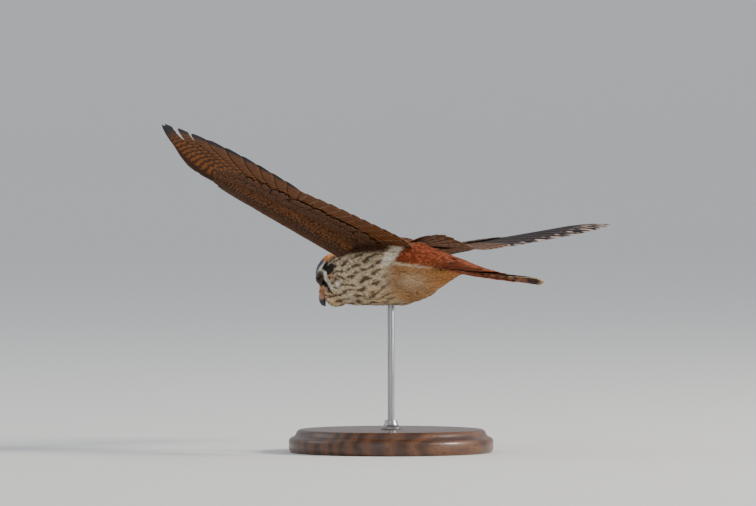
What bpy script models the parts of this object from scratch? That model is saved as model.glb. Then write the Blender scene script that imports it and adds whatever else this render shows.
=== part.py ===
"""American kestrel, adult female, life size, in gliding flight and looking down, on a display stand.

The bird is built level in its own frame and then banked by one empty.
In that frame +X is the bird's left, -Y is forward, +Z is up, and the origin is the middle of the trunk.
The world origin is the middle of the stand's underside. Sizes are in metres and angles in degrees.
"""

import math

import bmesh
import bpy
import numpy as np
from mathutils import Matrix, Vector

MM = 0.001
GAP = 0.3 * MM  # air between pieces that meet

# The stand
BASE_RADIUS = 80 * MM
BASE_HEIGHT = 18 * MM
ROD_RADIUS = 2.6 * MM
COLLAR_RADIUS = 8 * MM
COLLAR_HEIGHT = 7 * MM
ROD_SINK = 9 * MM  # how far the rod reaches into the belly
TRUNK_HEIGHT = 142 * MM  # from the floor to the middle of the trunk

# How the bird is held
BANK = 11.0  # left wing up
NOSE_DOWN = 4.3
HEAD_PITCH = 65.0  # the bill points this far below straight ahead
HEAD_TURN = 15.0  # the crown is turned this far to the left, about the vertical

# Trunk: backward, middle height, half width, half height above and below, all in mm
TRUNK_STATIONS = (
    (-41, 0.5, 23.0, 20.5, 25.8),
    (-26, 0.5, 27.5, 24.0, 26.5),
    (-8, 0.0, 28.5, 26.2, 26.8),
    (10, 0.0, 26.5, 25.8, 26.5),
    (27, 0.5, 22.0, 21.8, 25.5),
    (42, 1.0, 17.0, 15.0, 22.0),
    (55, 0.5, 12.5, 11.0, 16.0),
    (67, -1.0, 10.5, 8.5, 8.5),
    (77, -2.5, 9.5, 5.0, 3.5),
)
NECK_STATIONS = (
    (-41.3, 0.5, 22.9, 20.4, 25.7),
    (-48, 0.8, 20.0, 18.5, 24.5),
    (-54, 1.0, 17.0, 16.5, 25.0),
    (-60, 1.0, 14.0, 15.0, 24.5),
    (-65, 0.5, 10.5, 12.0, 22.5),
)
# Head in its own frame: towards the bill, middle height, half width, half height above and below, in mm
HEAD_STATIONS = (
    (-17.0, 0.0, 2.5, 2.5, 2.5),
    (-15.5, 0.0, 7.2, 7.0, 7.2),
    (-12.0, 0.0, 11.4, 10.8, 10.6),
    (-7.0, 0.0, 14.2, 13.2, 12.6),
    (-1.0, 0.0, 15.4, 14.0, 13.2),
    (4.5, 0.0, 14.6, 13.2, 12.8),
    (9.0, -0.3, 11.6, 10.6, 10.8),
    (12.6, -0.8, 8.0, 7.4, 8.0),
    (14.8, -1.2, 5.6, 5.2, 5.6),
)
HEAD_MIDDLE = Vector((0, -64.5 * MM, 1.0 * MM))
EYE_RADIUS = 4.7 * MM
EYE_PLACE = Vector((8.8 * MM, -6.4 * MM, 1.5 * MM))  # in the head's frame
BROW_RISE = 0.9 * MM  # the ridge over each eye

# Bill, in the head's frame: towards the tip, height, half width, half height, in mm
CERE_STATIONS = ((12.0, -0.6, 5.0, 5.2), (15.2, -0.5, 4.6, 4.7), (17.2, -0.9, 4.1, 4.2))
UPPER_BILL_STATIONS = (
    (17.5, -0.8, 3.9, 3.6),
    (20.0, -1.3, 3.4, 3.2),
    (22.3, -2.4, 2.6, 2.6),
    (24.0, -4.2, 1.6, 1.8),
    (24.6, -6.4, 0.6, 0.7),
)
LOWER_BILL_STATIONS = ((12.5, -6.6, 3.6, 1.3), (17.0, -6.5, 3.1, 1.2), (20.6, -6.3, 1.9, 0.8))

# Wing: lengths out from the shoulder and forward of it, measured along the wing's own surface
SHOULDER = Vector((18 * MM, -24 * MM, 11 * MM))
# Each wing's slope at the shoulder and at the tip, how far it is swept back as a whole,
# and how high the innermost feathers stand over the back, in mm
LEFT_WING = (21.2, 8.8, -1.3, 4)
RIGHT_WING = (16.0, 19.2, 7.2, 18)
WING_REACH = 262 * MM
WRIST_OUT = 74 * MM
HAND_END_OUT = 122 * MM
LEADING_EDGE = ((-10, 11), (15, 21), (40, 29), (73, 37), (100, 41), (122, 40.5))  # out, forward, in mm
TRAILING_EDGE = ((-10, -68), (20, -64), (60, -50), (100, -34), (150, -30), (200, -22), (262, 0))
ROOT_LINE = ((-10, -8), (20, -3), (50, 7), (74, 18), (100, 24), (112, 28.5), (122, 35))  # feather bases
CAMBER = 0.075  # height of the wing's arch over its width
TWIST_ROOT = 1.0  # the trailing edge hangs this far below the leading edge
TWIST_TIP = 1.0
ROOT_LIFT_SPAN = 34 * MM
ARM_THICKNESS = (15 * MM, 9.5 * MM)  # at the shoulder and at the wrist
HAND_THICKNESS = (9.5 * MM, 3.5 * MM)
BLADE_THICKNESS = (1.5 * MM, 0.7 * MM)  # the feather fans, at their bases and tips
WRIST_GAP = 0.4 * MM
REAR_GAP = 0.5 * MM  # between the flesh and the feather fans

PRIMARY_COUNT = 10
PRIMARY_LENGTHS = (66, 72, 79, 87, 95, 103, 109, 114, 116, 104)  # from the innermost out, in mm
PRIMARY_ANGLES = (52.0, 19.0)  # innermost and outermost feather, back from the wing's line
PRIMARY_SPREAD = 1.5  # over one, the inner feathers fan more than the outer ones
PRIMARY_BOW = 0.11  # how far an outer feather bows forward, over its length
BOW_FROM = 5  # the primary from which on they bow so far
PRIMARY_EDGE = (Vector((1 * MM, 6 * MM)), Vector((-4 * MM, 6 * MM)))  # the outer web, at root and tip
SECONDARY_COUNT = 13
SECONDARY_LENGTHS = (57, 61)  # outermost and innermost, in mm
SECONDARY_ANGLES = (61.0, 95.0)
TERTIAL_TUCK = 12.0  # the left wing's innermost feather lies this much further in under the back
SLOT_DEPTH = (0.02, 0.15)  # how deep the outline is cut between inner and outer primaries
SLOT_FROM = 6  # primaries beyond this one stand apart at their tips

ALULA_FROM = (79 * MM, 40 * MM)
ALULA_TO = (115 * MM, 43 * MM)
ALULA_WIDTH = 3.4 * MM
ALULA_THICKNESS = (1.4 * MM, 0.8 * MM)  # at its root and tip
ALULA_LIFT = 2.2 * MM  # over the middle of the wing
ALULA_STEPS = 6

TAIL_LENGTH = 122 * MM
TAIL_ROOT = Vector((0, 40 * MM, 0.5 * MM))
TAIL_DROOP = 8.0
TAIL_COUNT = 12
TAIL_HALF_WIDTH = (9 * MM, 21 * MM)  # at its base and near its tip
TAIL_ARCH = 2.5 * MM
TAIL_GRADE = 0.10  # how much shorter the outermost feathers are

THIGH_PLACE = Vector((14.5 * MM, 4 * MM, -16.5 * MM))
THIGH_SIZE = Vector((8.5 * MM, 18 * MM, 8.5 * MM))
THIGH_TILT = 10.0
SHANK_RADIUS = 2.1 * MM
SHANK_FROM = Vector((10.0 * MM, 1 * MM, -17.5 * MM))
SHANK_TO = Vector((8.5 * MM, 22 * MM, -11.5 * MM))
TOE_RADIUS = 1.35 * MM
TOE_REACH = 6.5 * MM  # a front toe's clenched length; the hind toe's is shorter
HIND_REACH = 4.6 * MM
TOE_DEPTH = 3.2 * MM
CLAW_LENGTH = 6.0 * MM
HIND_CLAW_SHARE = 0.7  # the hind claw's length over the others'
CLAW_RADII = (1.05, 0.95, 0.75, 0.5, 0.28)  # from base to point, in mm
FRONT_TOES = (-0.7, 0.0, 0.7)  # how far each is splayed sideways
HIND_TOE = -0.35
TOE_HOLLOW = Vector((10.0 * MM, 13.0 * MM, 10.5 * MM))  # the dent in the belly over the toes

RING_POINTS = 18
TRUNK_STEPS = 12
NECK_STEPS = 3
HEAD_STEPS = 10
WING_RING_POINTS = 7


def clear_scene():
    for obj in list(bpy.data.objects):
        bpy.data.objects.remove(obj)


def new_material(name, colour, roughness, metallic=0.0):
    made = bpy.data.materials.new(name)
    made.use_nodes = True
    shader = made.node_tree.nodes["Principled BSDF"]
    shader.inputs["Base Color"].default_value = (*colour, 1)
    shader.inputs["Roughness"].default_value = roughness
    shader.inputs["Metallic"].default_value = metallic
    return made


def curve_through(points):
    """A smooth function through points (at, values...): Catmull-Rom pieces, straight past the ends."""
    table = np.array(points, float)
    at, values = table[:, 0], table[:, 1:]
    slopes = np.gradient(values, at, axis=0)

    def value(where):
        where = float(where)
        i = int(np.clip(np.searchsorted(at, where) - 1, 0, len(at) - 2))
        span = at[i + 1] - at[i]
        t = np.clip((where - at[i]) / span, 0, 1)
        a, b = values[i], values[i + 1]
        ta, tb = slopes[i] * span, slopes[i + 1] * span
        found = (
            (2 * t**3 - 3 * t**2 + 1) * a
            + (t**3 - 2 * t**2 + t) * ta
            + (3 * t**2 - 2 * t**3) * b
            + (t**3 - t**2) * tb
        )
        return [float(v) for v in found] if len(found) > 1 else float(found[0])

    return value


def link(obj, parent, material, collection="american_kestrel"):
    bpy.data.collections[collection].objects.link(obj)
    obj.parent = parent
    if material is not None:
        obj.data.materials.append(material)
    return obj


def loft(name, rings, parent, material, matrix=None):
    """A closed body through rings of equal point counts, with flat ends."""
    count = len(rings[0])
    mesh = bpy.data.meshes.new(name)
    body = bmesh.new()
    loops = [[body.verts.new(p) for p in ring] for ring in rings]
    for first, second in zip(loops, loops[1:]):
        for i in range(count):
            j = (i + 1) % count
            body.faces.new((first[i], first[j], second[j], second[i]))
    body.faces.new(loops[0][::-1])
    body.faces.new(loops[-1])
    bmesh.ops.triangulate(body, faces=body.faces, quad_method="SHORT_EDGE")
    bmesh.ops.recalc_face_normals(body, faces=body.faces)
    if body.calc_volume(signed=True) < 0:
        bmesh.ops.reverse_faces(body, faces=body.faces)
    if matrix is not None:
        body.transform(matrix)
    body.to_mesh(mesh)
    body.free()
    mesh.shade_smooth()
    return link(bpy.data.objects.new(name, mesh), parent, material)


def ellipse_rings(stations, count, steps, grow=0.0):
    """Rings across the Y axis from a few stations (along, height, half width, up, down) in mm."""
    table = np.array(stations, float)
    table[:, 0] -= table[0, 0]
    sign = 1 if table[-1, 0] > 0 else -1
    section = curve_through([(sign * row[0], *row[1:]) for row in table])
    start, length = stations[0][0], abs(stations[-1][0] - stations[0][0])
    rings = []
    for k in range(steps + 1):
        run = length * k / steps
        height, wide, up, down = section(run)
        reach = grow / MM * (2 * k / steps - 1)
        along = (start + sign * (run + reach)) * MM
        ring = []
        for n in range(count):
            turn = 2 * math.pi * n / count
            tall = up if math.sin(turn) > 0 else down
            ring.append(
                Vector((
                    (wide * MM + grow) * math.cos(turn),
                    along,
                    height * MM + (tall * MM + grow) * math.sin(turn),
                ))
            )
        rings.append(ring)
    return rings


def cut(obj, cutters, operation="DIFFERENCE"):
    """Cuts obj by the cutters for good, and removes them."""
    for cutter in cutters:
        modifier = obj.modifiers.new("cut", "BOOLEAN")
        modifier.operation = operation
        modifier.object = cutter
    bpy.context.view_layer.update()
    graph = bpy.context.evaluated_depsgraph_get()
    mesh = bpy.data.meshes.new_from_object(obj.evaluated_get(graph))
    obj.modifiers.clear()
    obj.data = mesh
    mesh.name = obj.name
    for cutter in cutters:
        bpy.data.objects.remove(cutter)
    return obj


# The trunk, neck, head and bill


def make_trunk(bird, material, grow=0.0, name="trunk"):
    rings = ellipse_rings(TRUNK_STATIONS, RING_POINTS, TRUNK_STEPS, grow)
    return loft(name, rings, bird, material)


def make_neck(bird, material):
    rings = ellipse_rings(NECK_STATIONS, RING_POINTS, NECK_STEPS)
    return loft("neck", rings, bird, material)


def head_frame():
    """From the head's own frame, -Y to the bill and +Z to the crown, into the bird's."""
    turn = Matrix.Rotation(math.radians(HEAD_TURN), 4, "Z")
    return Matrix.Translation(HEAD_MIDDLE) @ turn @ Matrix.Rotation(math.radians(HEAD_PITCH), 4, "X")


def brow(point):
    """Moves a point of the head out over the eye, so that the eye looks deep-set."""
    over_eye = math.exp(-(((point.y - EYE_PLACE.y) / (6 * MM)) ** 2))
    height = math.exp(-(((point.z - EYE_PLACE.z - 4.5 * MM) / (2.6 * MM)) ** 2))
    side = 1 if point.x > 0 else -1
    outside = min(1.0, abs(point.x) / (6 * MM))
    return point + Vector((side * BROW_RISE * over_eye * height * outside, 0, 0))


def make_head(bird, material, grow=0.0, name="head"):
    stations = [(-row[0], *row[1:]) for row in HEAD_STATIONS]
    rings = ellipse_rings(stations, RING_POINTS, HEAD_STEPS, grow)
    rings = [[brow(p) for p in ring] for ring in rings]
    return loft(name, rings, bird, material, head_frame())


def make_ball(name, parent, material, centre, radii, matrix=None, segments=12, rings=8):
    mesh = bpy.data.meshes.new(name)
    body = bmesh.new()
    bmesh.ops.create_uvsphere(body, u_segments=segments, v_segments=rings, radius=1)
    scale = Matrix.Diagonal((*radii, 1))
    body.transform((matrix or Matrix.Identity(4)) @ Matrix.Translation(centre) @ scale)
    body.to_mesh(mesh)
    body.free()
    mesh.shade_smooth()
    return link(bpy.data.objects.new(name, mesh), parent, material)


def eye_place(side):
    return Vector((side * EYE_PLACE.x, EYE_PLACE.y, EYE_PLACE.z))


def make_eye(name, bird, material, side, grow=0.0):
    size = EYE_RADIUS + grow
    return make_ball(name, bird, material, eye_place(side), (size, size, size), head_frame())


def bill_rings(stations, steps, count=12, grow=0.0):
    """Rings along a bending horn. Each stands square to the line that the stations run along."""
    line = curve_through([(k, *row) for k, row in enumerate(stations)])
    rings = []
    last = len(stations) - 1
    for k in range(steps + 1):
        at = last * k / steps
        along, height, wide, tall = line(at)
        ahead, behind = line(min(last, at + 0.05)), line(max(0, at - 0.05))
        direction = Vector((0, behind[0] - ahead[0], ahead[1] - behind[1])).normalized()
        upward = direction.cross(Vector((1, 0, 0)))
        if upward.z < 0 and k == 0:
            upward = -upward
        if rings and upward.dot(last_up) < 0:
            upward = -upward
        last_up = upward
        reach = grow * (2 * k / steps - 1)
        middle = Vector((0, -along * MM, height * MM)) + direction * reach
        ring = []
        for n in range(count):
            turn = 2 * math.pi * n / count
            across = (wide * MM + grow) * math.cos(turn)
            up = (tall * MM + grow) * math.sin(turn)
            ring.append(middle + Vector((across, 0, 0)) + upward * up)
        rings.append(ring)
    return rings


def make_bill(bird, head, horn, skin):
    frame = head_frame()
    cere = loft("cere", bill_rings(CERE_STATIONS, 4), bird, skin, frame)
    loft("bill_upper", bill_rings(UPPER_BILL_STATIONS, 8), bird, horn, frame)
    loft("bill_lower", bill_rings(LOWER_BILL_STATIONS, 4), bird, horn, frame)
    around_cere = loft("cere_cutter", bill_rings(CERE_STATIONS, 4, grow=GAP), bird, None, frame)
    around_lower = loft("lower_cutter", bill_rings(LOWER_BILL_STATIONS, 4, grow=GAP), bird, None, frame)
    cut(head, [around_cere, around_lower])
    around_lower = loft("lower_cutter", bill_rings(LOWER_BILL_STATIONS, 4, grow=GAP), bird, None, frame)
    cut(cere, [around_lower])


# The wings

leading = curve_through([(a * MM, b * MM) for a, b in LEADING_EDGE])
trailing = curve_through([(a * MM, b * MM) for a, b in TRAILING_EDGE])
base_line = curve_through([(a * MM, b * MM) for a, b in ROOT_LINE])


def wing_point(side, out, forward, lift=0.0):
    """A point of the wing, from lengths along its surface. The wing curves up less and less outwards."""
    *angles, root_lift = LEFT_WING if side > 0 else RIGHT_WING
    root, tip, sweep = (math.radians(a) for a in angles)
    rate = (tip - root) / WING_REACH
    slope = root + rate * out
    across = (math.sin(slope) - math.sin(root)) / rate
    height = (math.cos(root) - math.cos(slope)) / rate
    front = leading(min(out, HAND_END_OUT))
    width = max(front - trailing(min(out, WING_REACH)), 30 * MM)
    share = min(max((front - forward) / width, 0), 1)
    twist = math.radians(TWIST_ROOT + (TWIST_TIP - TWIST_ROOT) * out / WING_REACH)
    rise = CAMBER * width * math.sin(math.pi * share**0.8)
    rise += math.tan(twist) * (forward - front)
    rise += root_lift * MM * share**2 * math.exp(-((max(out, 0) / ROOT_LIFT_SPAN) ** 2)) + lift
    place = Vector((across - math.sin(slope) * rise, -forward, height + math.cos(slope) * rise))
    place = Matrix.Rotation(sweep, 3, "Z") @ place + SHOULDER
    return Vector((side * place.x, place.y, place.z))


def flesh_rings(side, start, end, steps, thickness):
    """Wing sections from the leading edge to the line of the feather bases."""
    rings = []
    for k in range(steps + 1):
        share = k / steps
        out = start + (end - start) * share
        front, back = leading(out), base_line(out) + REAR_GAP
        thick = thickness[0] + (thickness[1] - thickness[0]) * share
        ring = []
        for n in range(2 * WING_RING_POINTS + 1):
            turn = math.pi * n / WING_RING_POINTS
            along = 0.5 - 0.5 * math.cos(turn)
            forward = back + (front - back) * along
            fullness = 1.9 * math.sqrt(max(0.0, 1 - along)) * along**0.75
            half = 0.5 * (thick * fullness + BLADE_THICKNESS[0] * (1 - along))
            upper = turn <= math.pi
            if n == 2 * WING_RING_POINTS:
                half = 0.5 * BLADE_THICKNESS[0]
            ring.append(wing_point(side, out, forward, half if upper else -half))
        rings.append(ring)
    return rings


def feather_lines(lengths, angles, spread, count, first, last):
    """(root, tip) of each feather of a fan, as (out, forward) pairs, rooted on the base line."""
    pairs = []
    for k in range(count):
        share = k / (count - 1)
        out = first + (last - first) * share
        root = Vector((out, base_line(out)))
        angle = math.radians(angles[1] + (angles[0] - angles[1]) * (1 - share) ** spread)
        length = float(lengths[k]) * MM
        pairs.append((root, root + length * Vector((math.cos(angle), -math.sin(angle)))))
    return pairs


def primary_lines():
    return feather_lines(
        PRIMARY_LENGTHS, PRIMARY_ANGLES, PRIMARY_SPREAD, PRIMARY_COUNT, WRIST_OUT, HAND_END_OUT
    )


def secondary_lines(side):
    outer, inner = SECONDARY_LENGTHS
    lengths = np.linspace(inner, outer, SECONDARY_COUNT)
    if side > 0:
        lengths -= TERTIAL_TUCK * np.exp(-np.arange(SECONDARY_COUNT) / 1.2)
    angles = (SECONDARY_ANGLES[1], SECONDARY_ANGLES[0])
    return feather_lines(lengths, angles, 1.0, SECONDARY_COUNT, -6 * MM, WRIST_OUT - 1.5 * MM)


def fan_rings(side, lines, columns, rows, bow, slot, ends, outer_edge=None):
    """Sections along each feather of a fan: a thin blade whose far edge is scalloped by the tips."""
    count = len(lines)
    root = curve_through([(k, *pair[0]) for k, pair in enumerate(lines)])
    tip = curve_through([(k, *pair[1]) for k, pair in enumerate(lines)])
    low, high = ends
    rings = []
    for k in range(columns + 1):
        at = low + (high - low) * k / columns
        inside = min(max(at, 0), count - 1)
        start, end = Vector(root(inside)), Vector(tip(inside))
        if at > inside and outer_edge:
            start += outer_edge[0] * (at - inside)
            end += outer_edge[1] * (at - inside)
        elif at != inside:
            other = 1 if at < 0 else count - 2
            end += (Vector(tip(other)) - end) * -abs(at - inside)
        aside = abs(at - round(inside)) * 2
        cut_back = slot(at) * aside**2.2
        line = end - start
        sideways = Vector((-line.y, line.x))
        blade = []
        for r in range(rows + 1):
            run = r / rows
            bend = bow * min(1.0, max(at, 0) / BOW_FROM) * 4 * run * (1 - run)
            spot = start + line * run * (1 - cut_back) + sideways * bend
            thick = BLADE_THICKNESS[0] + (BLADE_THICKNESS[1] - BLADE_THICKNESS[0]) * run
            blade.append((spot, thick / 2))
        ring = [wing_point(side, *spot, half) for spot, half in blade]
        ring += [wing_point(side, *spot, -half) for spot, half in reversed(blade)]
        rings.append(ring)
    return rings


def primary_slot(at):
    deep = min(max((at + 1 - SLOT_FROM) / (PRIMARY_COUNT - SLOT_FROM), 0), 1)
    return SLOT_DEPTH[0] + (SLOT_DEPTH[1] - SLOT_DEPTH[0]) * deep


def alula_rings(side):
    rings = []
    start, end = Vector(ALULA_FROM), Vector(ALULA_TO)
    for k in range(ALULA_STEPS + 1):
        share = k / ALULA_STEPS
        out, forward = start + (end - start) * share
        wide = ALULA_WIDTH * math.sqrt(max(0.02, 1 - share**2.5))
        thick = 0.5 * (ALULA_THICKNESS[0] + (ALULA_THICKNESS[1] - ALULA_THICKNESS[0]) * share)
        corners = ((0, thick), (-wide, thick), (-wide, -thick), (0, -thick))
        ring = [wing_point(side, out, forward + wide / 2 + a, ALULA_LIFT + b) for a, b in corners]
        rings.append(ring)
    return rings


def make_wing(bird, word, side, flesh, vane):
    wrist_in, wrist_out = WRIST_OUT - WRIST_GAP / 2, WRIST_OUT + WRIST_GAP / 2
    arm = loft(
        f"wing_{word}_arm", flesh_rings(side, -8 * MM, wrist_in, 10, ARM_THICKNESS), bird, flesh
    )
    loft(
        f"wing_{word}_hand",
        flesh_rings(side, wrist_out, HAND_END_OUT - 1 * MM, 6, HAND_THICKNESS),
        bird,
        flesh,
    )
    loft(
        f"wing_{word}_primaries",
        fan_rings(side, primary_lines(), 27, 4, PRIMARY_BOW, primary_slot, (-0.42, 9.45), PRIMARY_EDGE),
        bird,
        vane,
    )
    inner = loft(
        f"wing_{word}_secondaries",
        fan_rings(side, secondary_lines(side), 26, 4, 0.0, lambda at: 0.035, (0, 12.45)),
        bird,
        vane,
    )
    loft(f"wing_{word}_alula", alula_rings(side), bird, vane)
    cut(arm, [make_trunk(bird, None, GAP, "trunk_cutter")])
    cut(inner, [make_trunk(bird, None, GAP, "trunk_cutter")])


# The tail and the legs


def tail_rings(grow=0.0):
    """Sections along the tail, one across each feather, arched from side to side."""
    columns, rows = 24, 5
    droop = Matrix.Rotation(-math.radians(TAIL_DROOP), 3, "X")
    rings = []
    for k in range(columns + 1):
        across = 2 * k / columns - 1
        aside = abs((across * TAIL_COUNT / 2) % 1 - 0.5) * 2
        length = TAIL_LENGTH * (1 - TAIL_GRADE * abs(across) ** 2.5 - 0.022 * (1 - aside) ** 3)
        blade = []
        for r in range(rows + 1):
            run = r / rows
            wide = TAIL_HALF_WIDTH[0] + (TAIL_HALF_WIDTH[1] - TAIL_HALF_WIDTH[0]) * run**0.8
            wide = wide * (1 - 0.10 * max(0.0, run - 0.8) * 5) + grow
            thick = BLADE_THICKNESS[0] + (BLADE_THICKNESS[1] - BLADE_THICKNESS[0]) * run
            back = length * run + grow * (2 * run - 1)
            arch = -TAIL_ARCH * across**2 * (0.4 + 0.6 * run)
            blade.append((Vector((across * wide, back, arch)), thick / 2 + grow))
        ring = [TAIL_ROOT + droop @ (p + Vector((0, 0, half))) for p, half in blade]
        ring += [TAIL_ROOT + droop @ (p - Vector((0, 0, half))) for p, half in reversed(blade)]
        rings.append(ring)
    return rings


def mirrored(point, side):
    return Vector((side * point.x, point.y, point.z))


def make_thigh(name, bird, material, side, grow=0.0):
    radii = THIGH_SIZE + Vector((grow, grow, grow))
    tilt = Matrix.Translation(mirrored(THIGH_PLACE, side)) @ Matrix.Rotation(math.radians(THIGH_TILT), 4, "X")
    return make_ball(name, bird, material, Vector((0, 0, 0)), radii, tilt, 12, 7)


def tube_rings(points, radii, count=8):
    """Rings square to a line of points."""
    rings = []
    for k, point in enumerate(points):
        ahead = points[min(k + 1, len(points) - 1)] - points[max(k - 1, 0)]
        turn = ahead.to_track_quat("Z", "Y").to_matrix()
        ring = []
        for n in range(count):
            angle = 2 * math.pi * n / count
            ring.append(point + turn @ Vector((math.cos(angle), math.sin(angle), 0)) * radii[k])
        rings.append(ring)
    return rings


def toe_line(splay, back):
    """A clenched toe of the left foot: a bend down from the end of the shank, which the claw carries on."""
    start = SHANK_TO
    along = Vector((splay, -1.0 if back else 1.0, 0)).normalized()
    reach = HIND_REACH if back else TOE_REACH
    down = Vector((0, 0, -TOE_DEPTH))
    middle = start + along * reach * 0.55 + down
    bend = [math.radians(a) for a in range(70, -61, -26)]
    arc = [middle + along * reach * math.cos(a) - down * math.sin(a) for a in bend]
    return [start - along * 0.5 * MM] + arc


def mirror_copy(obj, name, bird):
    """The same piece on the bird's other side."""
    mesh = obj.data.copy()
    mesh.transform(Matrix.Scale(-1, 4, Vector((1, 0, 0))))
    mesh.flip_normals()
    mesh.name = name
    return link(bpy.data.objects.new(name, mesh), bird, None)


def make_feet(bird, flesh, horn):
    """On each side, shank and four clenched toes as one piece, and four claws."""
    line = [SHANK_FROM.lerp(SHANK_TO, t) for t in (0, 0.25, 0.5, 0.75, 1.0, 1.1)]
    radii = [SHANK_RADIUS * f for f in (1.1, 1.0, 0.92, 1.0, 1.35, 1.0)]
    foot = loft("foot_left", tube_rings(line, radii), bird, flesh)
    toes = []
    for n, splay in enumerate((*FRONT_TOES, HIND_TOE)):
        back = n == len(FRONT_TOES)
        path = toe_line(splay, back)
        thick = [TOE_RADIUS * f for f in (1.3, 1.25, 1.1, 1.15, 1.15, 1.0, 0.9)]
        toes.append(loft(f"toe_{n}", tube_rings(path, thick), bird, None))
        onward = (path[-1] - path[-2]).normalized()
        inward = Vector((0, 1.0 if back else -1.0, 0.3)).normalized()
        first = path[-1] + onward * GAP
        claw = [first]
        for k in range(1, 5):
            turn = (onward * (1 - k / 5) + inward * (k / 5)).normalized()
            claw.append(claw[-1] + turn * CLAW_LENGTH * (HIND_CLAW_SHARE if back else 1.0) / 4)
        sharp = [r * MM for r in CLAW_RADII]
        left = loft(f"claw_left_{n + 1}", tube_rings(claw, sharp, 6), bird, horn)
        mirror_copy(left, f"claw_right_{n + 1}", bird)
    mirror_copy(cut(foot, toes, "UNION"), "foot_right", bird)


def foot_cutter(bird, side):
    """The hollow in the belly that the shank lies in."""
    start, end = mirrored(SHANK_FROM, side), mirrored(SHANK_TO, side)
    line = [start.lerp(end, t) for t in (-0.05, 0.3, 0.75, 1.2)]
    radii = [SHANK_RADIUS * f + GAP * 2 for f in (1.1, 1.1, 1.1, 1.45)]
    return loft("shank_cutter", tube_rings(line, radii), bird, None)


def toe_cutter(bird, side):
    place = mirrored(SHANK_TO + Vector((-0.5 * MM, 3 * MM, -3 * MM)), side)
    return make_ball("toe_cutter", bird, None, place, TOE_HOLLOW, None, 10, 6)


# The stand


def turned(name, profile, material, parent=None, steps=32):
    """A turned body from a profile of (radius, height), run down its outer side."""
    mesh = bpy.data.meshes.new(name)
    mesh.from_pydata([(r, 0, z) for r, z in profile], [(i, i + 1) for i in range(len(profile) - 1)], [])
    obj = link(bpy.data.objects.new(name, mesh), parent, material)
    screw = obj.modifiers.new("turn", "SCREW")
    screw.steps = steps
    screw.render_steps = steps
    screw.use_merge_vertices = True
    screw.merge_threshold = 0.00001
    screw.use_smooth_shade = True
    return obj


def make_stand(wood, steel, rod_top):
    edge = 3 * MM
    turned(
        "stand_base",
        (
            (0, BASE_HEIGHT),
            (BASE_RADIUS - 9 * MM, BASE_HEIGHT),
            (BASE_RADIUS - 6 * MM, BASE_HEIGHT - 1.5 * MM),
            (BASE_RADIUS - 4.5 * MM, BASE_HEIGHT - 5 * MM),
            (BASE_RADIUS - 1 * MM, BASE_HEIGHT - 7 * MM),
            (BASE_RADIUS, BASE_HEIGHT - 9 * MM),
            (BASE_RADIUS, edge),
            (BASE_RADIUS - 1.2 * MM, 0),
            (0, 0),
        ),
        wood,
    )
    floor = BASE_HEIGHT + GAP
    turned(
        "stand_collar",
        (
            (ROD_RADIUS + GAP, floor + COLLAR_HEIGHT),
            (COLLAR_RADIUS * 0.62, floor + COLLAR_HEIGHT),
            (COLLAR_RADIUS * 0.7, floor + COLLAR_HEIGHT * 0.6),
            (COLLAR_RADIUS, floor + COLLAR_HEIGHT * 0.28),
            (COLLAR_RADIUS, floor),
            (ROD_RADIUS + GAP, floor),
            (ROD_RADIUS + GAP, floor + COLLAR_HEIGHT),
        ),
        steel,
        steps=20,
    )
    rod_profile = (
        (0, rod_top),
        (ROD_RADIUS * 0.8, rod_top),
        (ROD_RADIUS, rod_top - 0.6 * MM),
        (ROD_RADIUS, floor),
        (0, floor),
    )
    turned("stand_rod", rod_profile, steel, steps=16)


def rod_cutter(top):
    reach = 40 * MM
    bpy.ops.mesh.primitive_cylinder_add(
        vertices=16, radius=ROD_RADIUS + GAP, depth=reach, location=(0, 0, top + GAP - reach / 2)
    )
    return bpy.context.object


def make_bird(bird, materials, rod_top):
    body, horn, bare, eye, vane = materials
    trunk = make_trunk(bird, body)
    neck = make_neck(bird, body)
    head = make_head(bird, body)
    make_bill(bird, head, horn, bare)
    for word, side in (("left", 1), ("right", -1)):
        make_eye(f"eye_{word}", bird, eye, side)
    cut(head, [make_eye("eye_cutter", bird, None, side, GAP) for side in (1, -1)])
    cutters = [make_head(bird, None, GAP, "head_cutter")]
    for name, rows in (("lower_cutter", LOWER_BILL_STATIONS), ("cere_cutter", CERE_STATIONS)):
        cutters.append(loft(name, bill_rings(rows, 4, grow=2 * GAP), bird, None, head_frame()))
    cut(neck, cutters)
    for word, side in (("left", 1), ("right", -1)):
        make_wing(bird, word, side, body, vane)
        make_thigh(f"thigh_{word}", bird, body, side)
    make_feet(bird, bare, horn)
    loft("tail", tail_rings(), bird, vane)
    sockets = [make_thigh("thigh_cutter", bird, None, side, GAP) for side in (1, -1)]
    sockets += [foot_cutter(bird, side) for side in (1, -1)]
    sockets += [toe_cutter(bird, side) for side in (1, -1)]
    sockets.append(loft("tail_cutter", tail_rings(GAP), bird, None))
    sockets.append(rod_cutter(rod_top))
    cut(trunk, sockets)
    for side, word in ((1, "left"), (-1, "right")):
        cut(bpy.data.objects[f"thigh_{word}"], [foot_cutter(bird, side)])


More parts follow.
